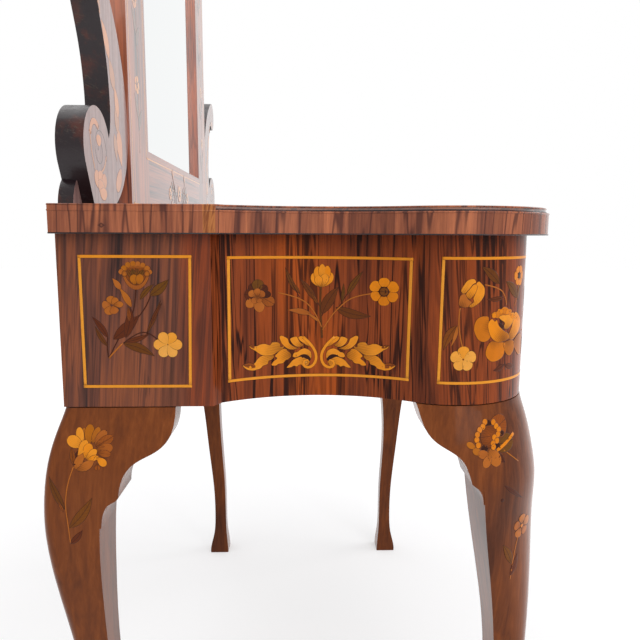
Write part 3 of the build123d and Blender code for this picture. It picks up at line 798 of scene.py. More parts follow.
def band_tree():
    """A flat band along each line, with a narrow rim at both sides."""
    tree = Growth("band", {"Width": ("Float", 2.0), "Wood": ("Float", 0.2), "Step": ("Float", 3.0),
                           "Material": ("Material", None)})
    line = tree.add("GeometryNodeResampleCurve", {"mode": "LENGTH"},
                    {"Curve": tree.start, "Length": tree.input("Step")})
    run = tree.add("GeometryNodeSplineParameter", out="Length")
    line = tree.store(line, "run", run)
    line = tree.add("GeometryNodeSetCurveNormal", {"mode": "Z_UP"}, {"Curve": line})
    bar = tree.add("GeometryNodeCurvePrimitiveLine", None, {"Start": (-0.5, 0, 0), "End": (0.5, 0, 0)})
    bar = tree.add("GeometryNodeResampleCurve", {"mode": "COUNT"}, {"Curve": bar, "Count": 4})
    share = tree.add("GeometryNodeSplineParameter", out="Factor")
    aside = share * 2 - 1
    across = tree.math("SIGN", aside) * (abs(aside) ** 0.25) * tree.input("Width") * 0.5
    bar = tree.store(bar, "across", across)
    bar = tree.store(bar, "rim", abs(aside) < 0.99)
    bar = tree.add("GeometryNodeSetPosition", None, {"Geometry": bar, "Position": tree.vector(across)})
    flat = tree.add("GeometryNodeCurveToMesh", None, {"Curve": line, "Profile Curve": bar})
    run = tree.add("GeometryNodeInputNamedAttribute", {"data_type": "FLOAT"}, {"Name": "run"})
    side = tree.add("GeometryNodeInputNamedAttribute", {"data_type": "FLOAT"}, {"Name": "across"})
    flat = tree.store(flat, "grain", tree.vector(run, side), "FLOAT_VECTOR")
    flat = tree.store(flat, "wood", tree.input("Wood"))
    flat = tree.store(flat, "scorch", 0.0)
    return tree.end(flat)


def petal_tree():
    """Petals along a line, each square to it and a little different from the next."""
    tree = Growth("petals", {
        "Count": ("Int", 6), "Length": ("Float", 8.0), "Half width": ("Float", 4.0),
        "Widest": ("Float", 1.5), "Fullness": ("Float", 0.5), "Wood": ("Float", 0.2),
        "Spread": ("Float", 0.05), "Scorch": ("Float", 0.7), "Turn": ("Float", 0.0),
        "Lift": ("Float", 0.003), "Seed": ("Int", 0), "Material": ("Material", None)})
    plate = tree.add("GeometryNodeMeshGrid", None,
                     {"Size X": 1.0, "Size Y": 1.0, "Vertices X": 11, "Vertices Y": 7})
    x, y, _ = tree.split(tree.add("GeometryNodeInputPosition"))
    t = (1 - tree.math("COSINE", (x + 0.5) * math.pi)) * 0.5
    s = tree.math("SINE", y * math.pi)
    arch = tree.math("MAXIMUM", tree.math("SINE", (t ** tree.input("Widest")) * math.pi), 0.0)
    across = s * (arch ** tree.input("Fullness")) * tree.input("Half width")
    along = t * tree.input("Length")
    inside = (abs(y) < 0.49) * (abs(x) < 0.49)
    plate = tree.store(plate, "rim", inside)
    plate = tree.store(plate, "scorch", tree.input("Scorch") * ((1 - t) ** 1.4))
    plate = tree.store(plate, "grain", tree.vector(along, across), "FLOAT_VECTOR")
    saved = tree.add("GeometryNodeInputNamedAttribute", {"data_type": "FLOAT_VECTOR"}, {"Name": "grain"})
    plate = tree.add("GeometryNodeSetPosition", None, {"Geometry": plate, "Position": saved})
    line = tree.add("GeometryNodeResampleCurve", {"mode": "COUNT"},
                    {"Curve": tree.start, "Count": tree.input("Count")})
    tx, ty, _ = tree.split(tree.add("GeometryNodeInputTangent"))
    facing = tree.math("ARCTAN2", ty, tx)
    angle = facing + math.pi / 2 + tree.input("Turn")
    index = tree.add("GeometryNodeInputIndex")
    size = tree.add("FunctionNodeRandomValue", {"data_type": "FLOAT"},
                    {2: 0.92, 3: 1.06, "Seed": tree.input("Seed")}, out=1)
    row = tree.add("GeometryNodeInstanceOnPoints", None, {
        "Points": line, "Instance": plate, "Rotation": tree.vector(0.0, 0.0, angle), "Scale": size})
    row = tree.add("GeometryNodeTranslateInstances", None,
                   {"Instances": row, "Translation": tree.vector(0.0, 0.0, index * tree.input("Lift"))})
    tone = tree.add("FunctionNodeRandomValue", {"data_type": "FLOAT"},
                    {2: -1.0, 3: 1.0, "Seed": tree.input("Seed") + 1}, out=1)
    row = tree.store(row, "wood", tree.input("Wood") + tone * tree.input("Spread"), domain="INSTANCE")
    return tree.end(row)


def arris_tree():
    """A slender round bead along an edge: a worn arris, and where it is dark, a line of painted shade."""
    tree = Growth("arris", {"Radius": ("Float", 0.0008), "Material": ("Material", None)})
    ring = tree.add("GeometryNodeCurvePrimitiveCircle", None,
                    {"Resolution": 8, "Radius": tree.input("Radius")})
    return tree.end(tree.add("GeometryNodeCurveToMesh", None,
                             {"Curve": tree.start, "Profile Curve": ring, "Fill Caps": True}))


def drawn(lines, smooth, taper, closed):
    """A curve object from lines of flat or solid points."""
    curve = bpy.data.curves.new("line", "CURVE")
    curve.dimensions = "3D"
    for line in lines:
        bends = smooth and len(line) > 2
        spline = curve.splines.new("NURBS" if bends else "POLY")
        spline.points.add(len(line) - 1)
        for i, (point, place) in enumerate(zip(spline.points, line)):
            point.co = (place[0], place[1], place[2] if len(place) > 2 else 0.0, 1.0)
            point.radius = 1 + (taper - 1) * i / (len(line) - 1)
        if bends:
            spline.order_u = 3
            spline.use_endpoint_u = True
        spline.use_cyclic_u = closed
    return linked("line", curve)


def grown(group, lines, smooth, taper, settings, closed=False):
    """The mesh that a tree grows along lines."""
    piece = drawn(lines, smooth, taper, closed)
    growth = piece.modifiers.new(group.name, "NODES")
    growth.node_group = group
    values = {**settings, "Material": MATERIALS["inlay"]} if "Material" not in settings else settings
    for item in group.interface.items_tree:
        if item.in_out == "INPUT" and item.name in values:
            growth[item.identifier] = values[item.name]
    bpy.context.view_layer.update()
    mesh = bpy.data.meshes.new_from_object(piece.evaluated_get(bpy.context.evaluated_depsgraph_get()))
    curve = piece.data
    bpy.data.objects.remove(piece)
    bpy.data.curves.remove(curve)
    return mesh


# ---- Surfaces that plates are laid on --------------------------------------------------------------
REACH = 0.5  # a ray starts this far outside the table
CORNER_REACH = 0.3  # or this far from the axis of the round corner
ABOVE = 1.9  # or at this height
AHEAD, BACKWARDS, DOWN = Vector((1, 0, 0)), Vector((0, 1, 0)), Vector((0, 0, -1))


def solids(nodes):
    """A tree for rays, from nodes by name."""
    points, faces = [], []
    for name in nodes:
        mesh = NODES[name].data
        base = len(points)
        points += [v.co.copy() for v in mesh.vertices]
        faces += [tuple(base + i for i in f.vertices) for f in mesh.polygons]
    return BVHTree.FromPolygons(points, faces)


def seen_along(nodes, start, direction):
    """A surface that is met by rays: start(u, v) gives where each begins and direction(u) where it
    goes. Past an edge, the nearest place of the surface holds the point."""
    tree = solids(nodes)

    def surface(u, v):
        origin = start(u, v)
        heading = direction(u)
        point, normal, _, _ = tree.ray_cast(origin, heading)
        if point is None:
            point, normal, _, _ = tree.find_nearest(origin + heading * REACH)
        if normal.dot(heading) > 0:
            normal = -normal
        return point, normal
    return surface


def from_the_side(*nodes):
    """u is the length from the middle to the back, v the height."""
    x = CORNER_LOW.x - REACH
    return seen_along(nodes, lambda u, v: Vector((x, MIDDLE + u * MM, v * MM)), lambda u: AHEAD)


def round_the_corner():
    """u runs round the front corner from its middle, v is the height."""
    def outwards(u):
        angle = math.radians(45) + u * MM / CORNER_RADIUS
        return Vector((-math.cos(angle), -math.sin(angle), 0))
    return seen_along(["corner_block_left"],
                      lambda u, v: CORNER_AT + outwards(u) * CORNER_REACH + Vector((0, 0, v * MM)),
                      lambda u: -outwards(u))


def from_the_front(*nodes):
    """u is the length from the middle to the right, v the height."""
    return seen_along(nodes, lambda u, v: Vector((u * MM, -REACH, v * MM)), lambda u: BACKWARDS)


def from_above(*nodes):
    """u runs to the right and v to the back."""
    return seen_along(nodes, lambda u, v: Vector((u * MM, MIDDLE + v * MM, ABOVE)), lambda u: DOWN)


# ---- Motifs --------------------------------------------------------------------------------------
# Woods by name, from pale boxwood to dark walnut
PALE, GOLD, AMBER, HONEY, PEACH = 0.08, 0.19, 0.34, 0.43, 0.51
RUSSET, OLIVE, CHERRY, DARK = 0.62, 0.74, 0.86, 0.98


def placed(at, side=1, scale=1.0):
    """Turns a motif's own points into the panel's."""
    def place(a, b):
        return (at[0] + side * a * scale, at[1] + b * scale)
    return place


def acanthus(plates, at, side):
    """Half of a pair of scrolling acanthus leaves. It springs from the middle and runs outwards."""
    p = placed(at, side)

    def leaf(root, outline, wood=GOLD, scorch=0.8, tip=None):
        plates.leaf(p(*root), [p(*place) for place in outline], wood, scorch, tip and p(*tip))

    leaf((44, 12), [(75.5, 4.5), (69.5, 4.5), (64, 5.5), (61.5, 9), (58, 12), (51.5, 14), (46, 13.5),
                    (44.5, 10.5), (47.5, 7.5), (50, 6.5), (51, 3.5), (55.5, 2), (58, -0.5), (62, -1.5),
                    (65.5, -2), (71, -0.5)])
    plates.blade(p(62.5, 1.5), p(75.4, 4.3), 2.7, RUSSET, "leaf", 0.12 * side, 0.2)
    leaf((38, 17), [(68.5, 23.5), (62, 22.5), (58.5, 24), (54, 24.5), (51, 23.5), (48.5, 23),
                    (46.5, 25.5), (41.5, 25.5), (38.5, 23.5), (38, 20.5), (34.5, 21.5), (36, 18),
                    (41.5, 15), (47, 12), (55.5, 12.5), (60, 15), (63.5, 18), (67.5, 20.5)])
    plates.blade(p(61.6, 20.6), p(69, 23.7), 1.6, RUSSET, "leaf", 0, 0.2)
    leaf((26, 12), [(47.5, 3), (45, 6.5), (42, 9), (44, 11.5), (40.5, 15.5), (37, 18), (33, 18.5),
                    (31, 16), (28.5, 14), (27.5, 10.5), (31, 7), (33, 6.5), (36, 3.5), (40.5, 3),
                    (42.5, 1.5), (46, 1.5)], GOLD, 1.0)
    leaf((22, 18), [(39.5, 30.5), (37, 32), (34, 30.5), (31, 28.5), (30, 25.5), (28.5, 23), (25, 20.5),
                    (20, 18.5), (25.5, 17), (31, 18), (35, 21), (38, 25)])
    leaf((17, 20), [(29, 28), (26, 30), (22, 30.5), (20.5, 27.5), (18.5, 24.5), (15, 21.5), (19, 19.5),
                    (23.5, 20.5), (27, 23.5)], GOLD, 0.9)
    leaf((9, 19.5), [(21, 29.5), (17.5, 31), (14.5, 29.5), (11, 26), (8.5, 22), (7.5, 19.5), (12, 21),
                     (15.5, 23.5), (19, 26)])
    leaf((8, 9), [(25, 13), (21, 11.5), (15.5, 13), (11, 13), (8.2, 8), (9.5, 5.5), (14.5, 7.5), (20, 7),
                  (24, 9.5)], DARK, 0.1)
    leaf((8, 11), [(26.5, 10.5), (25, 14), (21.5, 15), (19, 17), (15, 18.5), (11, 17.5), (8, 15),
                   (7, 10.5), (8, 7.5), (10, 10), (13.5, 12), (17.5, 11.5), (21, 9.5), (24.5, 9)], GOLD,
         0.5)
    leaf((10, 5), [(32.5, -1), (29, 3.5), (26.5, 6.5), (22, 9), (17.5, 10), (14, 8.5), (10.5, 6.5),
                   (9.5, 2.5), (12, 0), (15.5, -1), (17.5, 1.5), (20, 1), (22, -0.5), (25, 0.5),
                   (28, -1)], GOLD, 0.7)
    plates.band(3.1, GOLD, [p(16, 30), p(11, 25.6), p(6.3, 20), p(3, 14), p(2.4, 8), p(4, 2.6), p(8, -1),
                            p(13, -1.4), p(16, 2), p(14.4, 6), p(10.8, 6.2), p(10, 3.4)], taper=0.8)
    plates.disc(p(12.4, 4), 1.5, PALE, 0.9)


def tulip(plates, at, side=1, scale=1.0, wood=GOLD):
    """Three upright petals over a short cup."""
    p = placed(at, side, scale)
    plates.blades("petal", (p(0, -12), p(-8, 8), 6 * scale, wood, 0.1 * side),
                  (p(0, -12), p(8, 8), 6 * scale, wood, -0.1 * side),
                  (p(0, -13), p(0, 10), 5.5 * scale, wood + 0.06))
    plates.blade(p(0, -15), p(0, -4), 6 * scale, PEACH, "blunt")


def peony(plates, at, side=1, scale=1.0):
    """A large double flower: loose petals round a beaded, folded cup with a dark eye."""
    p = placed(at, side, scale)
    for root, outline, wood, scorch in (
            ((20, -12), [(19, -17), (26.5, -12), (37, -11), (42, -20), (42, -31), (33, -33), (22, -25)],
             HONEY + 0.06, 0.9),
            ((-16, 0), [(-33.5, -3.5), (-33, 4), (-29.5, 9), (-24, 10.5), (-18.5, 9.5), (-17.5, 3),
                        (-16, -3.5), (-15, -9), (-18.5, -13.5), (-24, -14.5), (-29.5, -11.5)],
             AMBER + 0.04, 0.8),
            ((-10, -12), [(-20.5, -26.5), (-19, -19), (-14, -14), (-5.5, -15.5), (4, -17), (4, -24.5),
                          (1.5, -30.5), (-5.5, -34), (-12.5, -34.5), (-17.5, -31.5)], AMBER, 0.8),
            ((8, -14), [(1.5, -17), (12.5, -15), (20, -17.5), (20.5, -25), (13.5, -31), (6.5, -28.5),
                        (3, -23)], HONEY, 0.9),
            ((0, 8), [(-15.5, 11), (-13, 14), (-9, 14.5), (-7.5, 17), (-3.5, 16.5), (-0.5, 18.5),
                      (5, 17.5), (7, 16), (12, 15), (12, 11), (0, 8.5), (-9, 7.5)], AMBER, 0.8),
            ((9, -15), [(9, -9), (13.5, -2.5), (16, 5.5), (19, 12), (27, 9.5), (34.5, 2), (33, -6),
                        (24, -12), (15.5, -15.5), (9, -13.5)], GOLD, 1.0),
            ((2, -14), [(-19, 0), (-18, 5), (-14.5, 7.5), (-11, 5), (-8.5, 6.5), (-6, 1), (1, -4.5),
                        (9, -8.5), (10, -13.5), (-0.5, -16), (-9, -15), (-15.5, -9.5)], GOLD + 0.02,
             1.0),
            ((6, -6), [(-6.5, 8.5), (-2.5, 10.5), (7.5, 10.5), (16, 12), (18.5, 7), (14, 0.5), (6.5, -4),
                       (0.5, -2), (2, 2.5), (-3, 5.5)], GOLD - 0.02, 0.9),
            ((0, 0), [(-5.5, 3), (-2, 2), (2, -1.5), (-1, -3), (-4.5, -0.5)], DARK, 0.1)):
        plates.leaf(p(*root), [p(*place) for place in outline], wood, scorch)
    plates.petals([p(-13, 13), p(-7, 15.5), p(0, 17), p(6, 15.5), p(11, 13.5)][::-side], 6, 4.6 * scale,
                  2.7 * scale, AMBER - 0.04, form="blunt", scorch=0.4)
    plates.petals([p(15, 10.5), p(22, 9.5), p(27, 7)][::-side], 3, 4.6 * scale, 2.8 * scale,
                  AMBER - 0.08, form="blunt", scorch=0.4)


def flank_marquetry():
    """The rear panel of a side: a poppy, a bud, two open flowers and their leaves."""
    plates = Plates()
    plates.frame_line((209.6, 616.7), (111.9, 616.7), (109.5, 738.2), (209.8, 738.2))
    plates.band(1.1, CHERRY + 0.09, [(186.4, 644), (177, 663), (168, 676), (160.5, 692), (159.6, 708)],
                [(172.5, 658), (160, 668), (148, 668), (141, 661)],
                [(187, 644), (188.5, 655), (187, 663)], [(167, 674), (152, 686), (146, 703)],
                [(167.5, 676), (166.8, 684), (166.9, 692)], [(150.8, 666), (146, 678), (140, 690)])
    plates.blades(
        "leaf", ((156, 698.5), (142.8, 712.8), 2.6, OLIVE, -0.12),
        ((147, 702.5), (129.4, 717.4), 4.6, OLIVE, 0.10),
        ((151, 667.5), (137, 698.6), 2.2, CHERRY - 0.05, 0.05),
        ((147, 675.5), (135.6, 696), 1.8, CHERRY, -0.06),
        ((187, 663), (200.8, 682.8), 3.0, CHERRY, 0.08),
        ((187.6, 655), (198.3, 674), 2.4, CHERRY - 0.05, -0.08),
        ((182, 661.5), (157, 684.5), 5.4, CHERRY, 0.05),
        ((170.5, 663), (165.2, 692), 4.4, CHERRY + 0.03, 0.1),
        ((173, 657.4), (144.3, 645.4), 4.4, CHERRY - 0.05, -0.12),
        ((171, 659), (148, 667), 2.6, CHERRY, 0.1))
    plates.band(1.5, PEACH, [(186.6, 643.6), (180.5, 651), (173.5, 657.6)], taper=0.5)
    plates.blades("leaf", ((164.2, 691.5), (174.4, 709.6), 3.2, PEACH, 0.05),
                  ((166.8, 678), (167.2, 692.6), 2.0, RUSSET, 0.05),
                  ((173.4, 707.6), (180.4, 718.2), 3.0, PEACH, 0.06))
    plates.blades("petal", ((183, 694), (190.9, 693), 4.4, PEACH + 0.02, 0, 0.6),
                  ((182, 694), (183.4, 702), 4.3, PEACH, 0, 0.6),
                  ((182, 694), (176.6, 699.8), 3.6, PEACH, 0, 0.6),
                  ((183, 693), (186.4, 684.6), 4.4, PEACH, 0, 0.6),
                  ((181.5, 693), (179, 685.4), 4.4, PEACH + 0.03, 0, 0.6),
                  ((181, 693.6), (171.4, 694.4), 3.2, PEACH, 0, 0.9))
    plates.flower((131.8, 656.4), 6, 0.4, 13.0, 5.3, PALE, scorch=0.35)
    plates.leaf((159, 716), [(146.6, 722), (149, 729), (154, 732), (159, 732.6), (164.4, 732),
                             (169.4, 729), (171.8, 722), (166, 719), (152, 719)], PEACH, 0.9, (159, 733))
    plates.cup((159.2, 707.6), (158.9, 729.0), 13.4, RUSSET - 0.05, 0.5)
    plates.cup((159.1, 711.6), (158.9, 728.0), 10.8, OLIVE - 0.08, 0.9)
    plates.blades("petal", ((159, 714), (166.8, 726.2), 2.3, RUSSET + 0.08, 0, 0.9),
                  ((159, 714), (162.2, 727), 2.3, OLIVE, 0, 0.9),
                  ((159, 714), (157.2, 727), 2.3, RUSSET + 0.10, 0, 0.9),
                  ((159, 714), (152, 726.2), 2.3, OLIVE, 0, 0.9))
    plates.petals([(148.4, 722.6), (150.8, 726.8), (155.0, 728.8), (159, 729.2), (163.2, 728.8),
                   (167.4, 726.8), (169.8, 722.6)], 8, 5.0, 2.5, PEACH - 0.04, form="blunt", scorch=0.5)
    for x in (148.9, 169.3):
        plates.disc((x, 722.4), 2.6, PEACH - 0.02, 1.15, 0.5)
    plates.blades("blunt", ((160.6, 712.6), (162, 721.6), 4.0, HONEY, 0.1, 0.6),
                  ((156.6, 712.6), (154, 721.8), 3.8, HONEY, -0.1, 0.6))
    plates.lay("marquetry_flank", from_the_side("flank_panel_left"), both_sides=True)


def sweep_marquetry():
    """The hollow panel: a spray of three flowers above two acanthus leaves."""
    plates = Plates()
    plates.frame_line((76.7, 617.3), (-96.0, 618.5), (-97.4, 735.9), (76.3, 736.7))
    plates.band(2.2, RUSSET + 0.16, [(-13.5, 656), (-12.6, 672), (-11, 690), (-12.4, 709)], taper=0.5)
    plates.band(0.9, CHERRY, [(-11, 688), (-7, 696), (3, 708)], [(9, 697), (15, 708), (20, 718)],
                [(-30, 687), (-37, 699), (-46, 713)], [(-13, 678), (-20, 692), (-26, 702)])
    plates.blades(
        "leaf", ((11.6, 702), (23.2, 727), 2.5, CHERRY - 0.06, -0.06),
        ((8.6, 700), (16.4, 712.4), 1.5, RUSSET + 0.06, 0.05),
        ((-7.6, 692.6), (8.9, 715.8), 3.2, CHERRY - 0.04, 0.05),
        ((-9.2, 690), (-2.6, 703), 1.7, RUSSET + 0.08, -0.05),
        ((-13.5, 680), (-30, 707.6), 5.6, CHERRY - 0.05, -0.10),
        ((-38, 699.5), (-53.4, 723.4), 3.0, CHERRY - 0.08, -0.06),
        ((-33, 692), (-34.5, 711.5), 1.8, RUSSET + 0.1, 0.05),
        ((-27, 687), (-61.6, 679), 4.8, CHERRY - 0.04, 0.15),
        ((-3, 679.5), (21.2, 684.4), 3.2, RUSSET - 0.04, 0.10),
        ((-10.4, 672), (3, 681.6), 1.6, PEACH, 0.10))
    plates.band(1.2, PEACH, [(-13, 667), (-5, 686.5), (11.6, 698), (30, 701.8)],
                [(-13.8, 664), (-22, 678), (-31, 687.6), (-44, 698.6), (-61, 701.2)], taper=0.8)
    plates.blades("petal", ((50, 700), (60, 688.6), 5.0, HONEY + 0.10, 0, 1.0),
                  ((50, 700), (47.4, 683), 5.4, HONEY + 0.08, 0, 1.0),
                  ((48, 699), (34, 690.6), 5.6, RUSSET - 0.03, 0, 1.0),
                  ((51, 701), (62.4, 700.8), 5.2, DARK - 0.07, 0, 0.9),
                  ((50, 701), (57, 711), 4.4, DARK - 0.04, 0, 0.9),
                  ((50, 701), (49.4, 715.4), 5.8, OLIVE + 0.02, 0, 0.9),
                  ((49, 701), (41, 709), 4.4, DARK - 0.05, 0, 0.9),
                  ((49, 700), (37, 700.6), 3.6, DARK - 0.03, 0, 0.6),
                  ((50, 698), (55, 692.6), 3.4, RUSSET - 0.06, 0, 1.0),
                  ((51, 699), (58.2, 703.4), 3.8, PEACH, 0, 1.0),
                  ((49.4, 698.6), (43.4, 702.8), 4.0, RUSSET - 0.05, 0, 1.0),
                  ((50, 698.4), (50.2, 706.6), 3.6, PEACH + 0.02, 0, 1.0),
                  ((49.6, 697.6), (47.6, 692.8), 3.0, RUSSET - 0.04, 0, 1.0))
    plates.blades("petal", ((-12.6, 707), (-4.8, 721), 4.8, GOLD + 0.03, -0.15, 0.8),
                  ((-12.6, 707), (-22.4, 721.6), 4.8, GOLD, 0.15, 0.8),
                  ((-12.8, 708), (-8.6, 727.6), 4.4, GOLD + 0.02, -0.10, 0.9),
                  ((-13, 708), (-18.6, 728.4), 4.4, GOLD + 0.04, 0.10, 0.9),
                  ((-13, 712), (-13.4, 730), 3.8, GOLD, 0, 0.9),
                  ((-12.6, 707), (-16.6, 720.4), 4.4, GOLD, 0.1, 0.9),
                  ((-12.4, 707), (-9, 718.6), 4.2, GOLD, -0.1, 0.9))
    plates.flower((-73.4, 703.7), 6, 4.2, 10.0, 5.8, AMBER - 0.06, turn=30, form="blunt", scorch=0.45)
    plates.disc((-73.4, 703.7), 5.0, DARK, 1, 0.3)
    plates.disc((-73.4, 703.7), 4.3, OLIVE - 0.04, 1, 0.3)
    acanthus(plates, (-10.3, 627.2), 1)
    acanthus(plates, (-10.3, 627.2), -1)
    plates.lay("marquetry_sweep", from_the_side("sweep_panel_left"), both_sides=True)


def corner_marquetry():
    """The round corner: a tulip, a peony and small open flowers."""
    plates = Plates()
    plates.frame_line((-85.0, 618.4), (85.0, 618.4), (83.6, 737.4), (-83.6, 737.4))
    plates.band(1.3, PEACH, [(-67, 691), (-69.6, 672), (-63, 652)],
                [(-43.5, 712.6), (-26, 709.6), (-17, 700), (-15.5, 692)],
                [(24, 664), (38, 658), (48, 653)], [(24, 676), (44, 688), (58, 696)],
                [(5.6, 712), (4, 700), (-2, 690)])
    plates.band(1.1, CHERRY, [(-16, 646), (-15, 636), (-12, 628)])
    plates.blades(
        "leaf", ((-69.5, 674), (-81.2, 650), 4.4, RUSSET + 0.06, -0.15),
        ((-69, 674), (-74.6, 654), 2.0, PEACH, 0.1),
        ((-27, 713), (-47.6, 729.6), 4.8, CHERRY - 0.06, -0.10),
        ((3, 698), (-18, 715), 5.2, CHERRY - 0.08, -0.12),
        ((-20.5, 700), (-41, 699), 2.4, CHERRY - 0.03, 0.1),
        ((4, 696), (10, 712), 2.6, RUSSET + 0.1, 0.1), ((-15, 634), (-30, 629), 2.8, CHERRY, 0.1),
        ((-13, 633), (3, 630), 3.0, CHERRY, -0.1), ((40, 686), (30, 708), 4.2, RUSSET + 0.08, 0.1),
        ((46, 688), (73, 684), 4.4, CHERRY - 0.04, 0.12), ((36, 659), (28, 638), 4.4, CHERRY, -0.1),
        ((60, 657), (76, 674), 4.0, CHERRY - 0.06, 0.1))
    plates.leaf((-66, 692), [(-68.5, 693.5), (-68.5, 698.5), (-67, 703), (-64, 704.5), (-61, 703),
                             (-60, 700), (-58, 698), (-56, 696.5), (-57.5, 693), (-61.5, 691),
                             (-65.5, 691.5)], PEACH, 0.9)
    plates.leaf((-57, 691), [(-59, 693), (-54.5, 696.5), (-55, 700), (-53, 705), (-52, 709.5),
                             (-53, 713), (-50, 716), (-46.5, 713.5), (-43.5, 709.5), (-43.5, 703),
                             (-47, 697), (-52, 693), (-56.5, 691)], GOLD, 0.7)
    plates.leaf((-64, 702), [(-66, 705), (-67, 708), (-64, 713), (-61.5, 716.5), (-57, 718.5),
                             (-53.5, 717.5), (-52.5, 714.5), (-55.5, 713), (-58.5, 709), (-62, 705),
                             (-64.5, 704)], GOLD, 0.8)
    plates.leaf((-59, 699), [(-61, 701), (-62, 704.5), (-58.5, 709), (-55, 713), (-52, 713),
                             (-51, 709.5), (-53, 704.5), (-55.5, 701), (-58, 699)], GOLD + 0.02, 0.9)
    plates.flower((-62.3, 641.6), 5, 0.6, 11.7, 5.8, PALE + 0.03, turn=-126, scorch=0.35)
    plates.flower((5.6, 719.8), 6, 3.2, 7.2, 4.6, AMBER - 0.06, heart=DARK, scorch=0.5, form="blunt")
    peony(plates, (-19.5, 672.4), 1, 1.0)
    plates.flower((54, 650), 6, 3.2, 8.6, 5.0, GOLD, turn=10, heart=RUSSET, scorch=0.5)
    tulip(plates, (62, 710), -1, 0.9)
    plates.lay("marquetry_corner", round_the_corner(), both_sides=True)


def rear_leg_marquetry():
    """A carnation on the knee of a rear leg."""
    plates = Plates()
    plates.band(1.1, PEACH,
                [(219, 544), (224, 531), (226.5, 514), (226.7, 504), (224.7, 487), (223.8, 470)])
    plates.blades("leaf", ((227.3, 504), (241.6, 535.4), 3.4, CHERRY - 0.06, -0.06),
                  ((228.7, 501.6), (233.6, 512.4), 1.5, RUSSET, 0),
                  ((224.2, 486), (202, 515.4), 5.0, RUSSET + 0.09, 0.12),
                  ((224, 470), (212, 484), 3.0, CHERRY, 0.1))
    plates.blades("petal", ((210.9, 564), (210.4, 578.4), 3.0, HONEY + 0.04, 0, 0.9),
                  ((197.5, 546.8), (196.6, 540.4), 3.2, RUSSET, 0, 0.9))
    plates.blades("drop", ((218.5, 545), (215, 558.4), 2.4, CHERRY + 0.04, 0, 0.4),
                  ((219, 545.6), (221.2, 561), 2.7, RUSSET + 0.05, 0, 0.6),
                  ((216.6, 541.6), (200.6, 550), 4.4, HONEY + 0.06, 0.18, 0.9),
                  ((217.4, 541.8), (209.6, 555.6), 4.0, HONEY + 0.08, -0.1, 0.6))
    plates.blades("blunt", ((205.6, 564), (205.2, 581.6), 4.8, HONEY + 0.03, 0, 0.6),
                  ((202.2, 565), (196.8, 579), 3.6, HONEY + 0.05, 0, 0.7),
                  ((199.8, 563.6), (190, 576), 4.4, PEACH + 0.06, 0, 0.7),
                  ((199, 561.6), (183.4, 570.8), 4.8, PEACH + 0.07, 0, 0.8),
                  ((198.4, 558.6), (183.2, 561.2), 4.8, PEACH + 0.05, 0, 0.9),
                  ((197.4, 556.6), (185, 554.6), 3.4, PEACH + 0.08, 0, 0.9),
                  ((212.4, 563.6), (215.4, 579), 3.9, GOLD, 0, 0.6),
                  ((211.6, 562.4), (225.4, 569.6), 5.6, GOLD, 0, 0.6))
    plates.blades("petal", ((215.4, 554), (208, 567.8), 4.4, GOLD, 0.1, 0.5),
                  ((209.4, 551.4), (204, 564.6), 4.6, GOLD + 0.02, 0, 0.7),
                  ((208, 551), (198, 559), 3.6, GOLD, 0, 0.7),
                  ((207, 550), (196.6, 553), 2.6, GOLD + 0.02, 0, 0.7),
                  ((201, 549), (196.4, 553.4), 1.7, GOLD, 0, 0.4),
                  ((198, 552.4), (189, 544.8), 3.8, GOLD, 0, 0.6))
    surface = from_the_side("leg_rear_left", "knee_brackets_rear_left")
    plates.lay("marquetry_rear_leg", surface, slot="leg_walnut", both_sides=True)


def front_leg_marquetry():
    """A pansy on the knee of a front leg, and a smaller flower further down."""
    plates = Plates()
    plates.band(0.9, HONEY, [(-189, 552.6), (-198, 545.4), (-207, 538)], smooth=False)
    plates.blades("blunt", ((-176, 562), (-193, 580), 11.0, RUSSET + 0.02, -0.25, 0.7),
                  ((-178, 560), (-200.6, 560), 9.0, RUSSET + 0.14, 0.1, 0.7))
    plates.blades("leaf", ((-178, 551), (-190, 541), 4.0, CHERRY + 0.07, 0, 0.1),
                  ((-189, 519), (-213, 500), 2.0, CHERRY + 0.05, 0, 0.1))
    plates.disc((-187, 505), 1.8, CHERRY + 0.09, 0.9)
    for spot, size in (((-173.3, 579), 3.2), ((-168, 556.6), 3.6), ((-181.5, 557.6), 3.4),
                       ((-187.4, 568.2), 2.8)):
        plates.disc(spot, size, DARK, 0.9)
    plates.blades("blunt", ((-158.6, 557.6), (-150.2, 562.4), 3.2, HONEY, 0, 0.5),
                  ((-165, 552), (-155.8, 556), 3.6, HONEY + 0.05, 0, 0.6),
                  ((-173.4, 548.4), (-161, 553), 4.4, PEACH + 0.02, 0, 0.7),
                  ((-173.6, 550), (-167.4, 539), 4.6, PEACH + 0.02, 0, 0.6),
                  ((-172.4, 555), (-182.4, 538.8), 6.4, PEACH - 0.03, -0.1, 0.7))
    plates.band(3.6, AMBER - 0.06, [(-181, 553.4), (-191, 557.4), (-202, 565.6)], taper=0.8)
    plates.disc((-173.3, 567), 9.6, RUSSET, 1.1, 0.6)
    for bead in ((-169.4, 580.6), (-167, 576.4), (-163.6, 573.8), (-161, 569.6), (-160.2, 565),
                 (-161.6, 560), (-178.6, 579.4),
                 (-181.4, 575.4), (-184.2, 572), (-183, 568), (-178.8, 565.6), (-181.4, 562.4),
                 (-177, 560.4), (-177.4, 557)):
        plates.disc(bead, 2.9, AMBER - 0.05 + 0.02 * (len(plates.points) % 3), 1.08, 0.3)
    plates.flower((-214, 470), 5, 2.0, 9.5, 5.0, PEACH, turn=20, heart=AMBER)
    plates.band(1.2, PEACH, [(-209, 461), (-203, 446), (-200, 420)])
    plates.blades("leaf", ((-201, 436), (-190, 458), 4.0, OLIVE, 0.1),
                  ((-200, 424), (-208, 444), 3.4, CHERRY, 0.1))
    surface = from_the_side("leg_front_left", "knee_brackets_front_left")
    plates.lay("marquetry_front_leg", surface, slot="leg_walnut", both_sides=True)


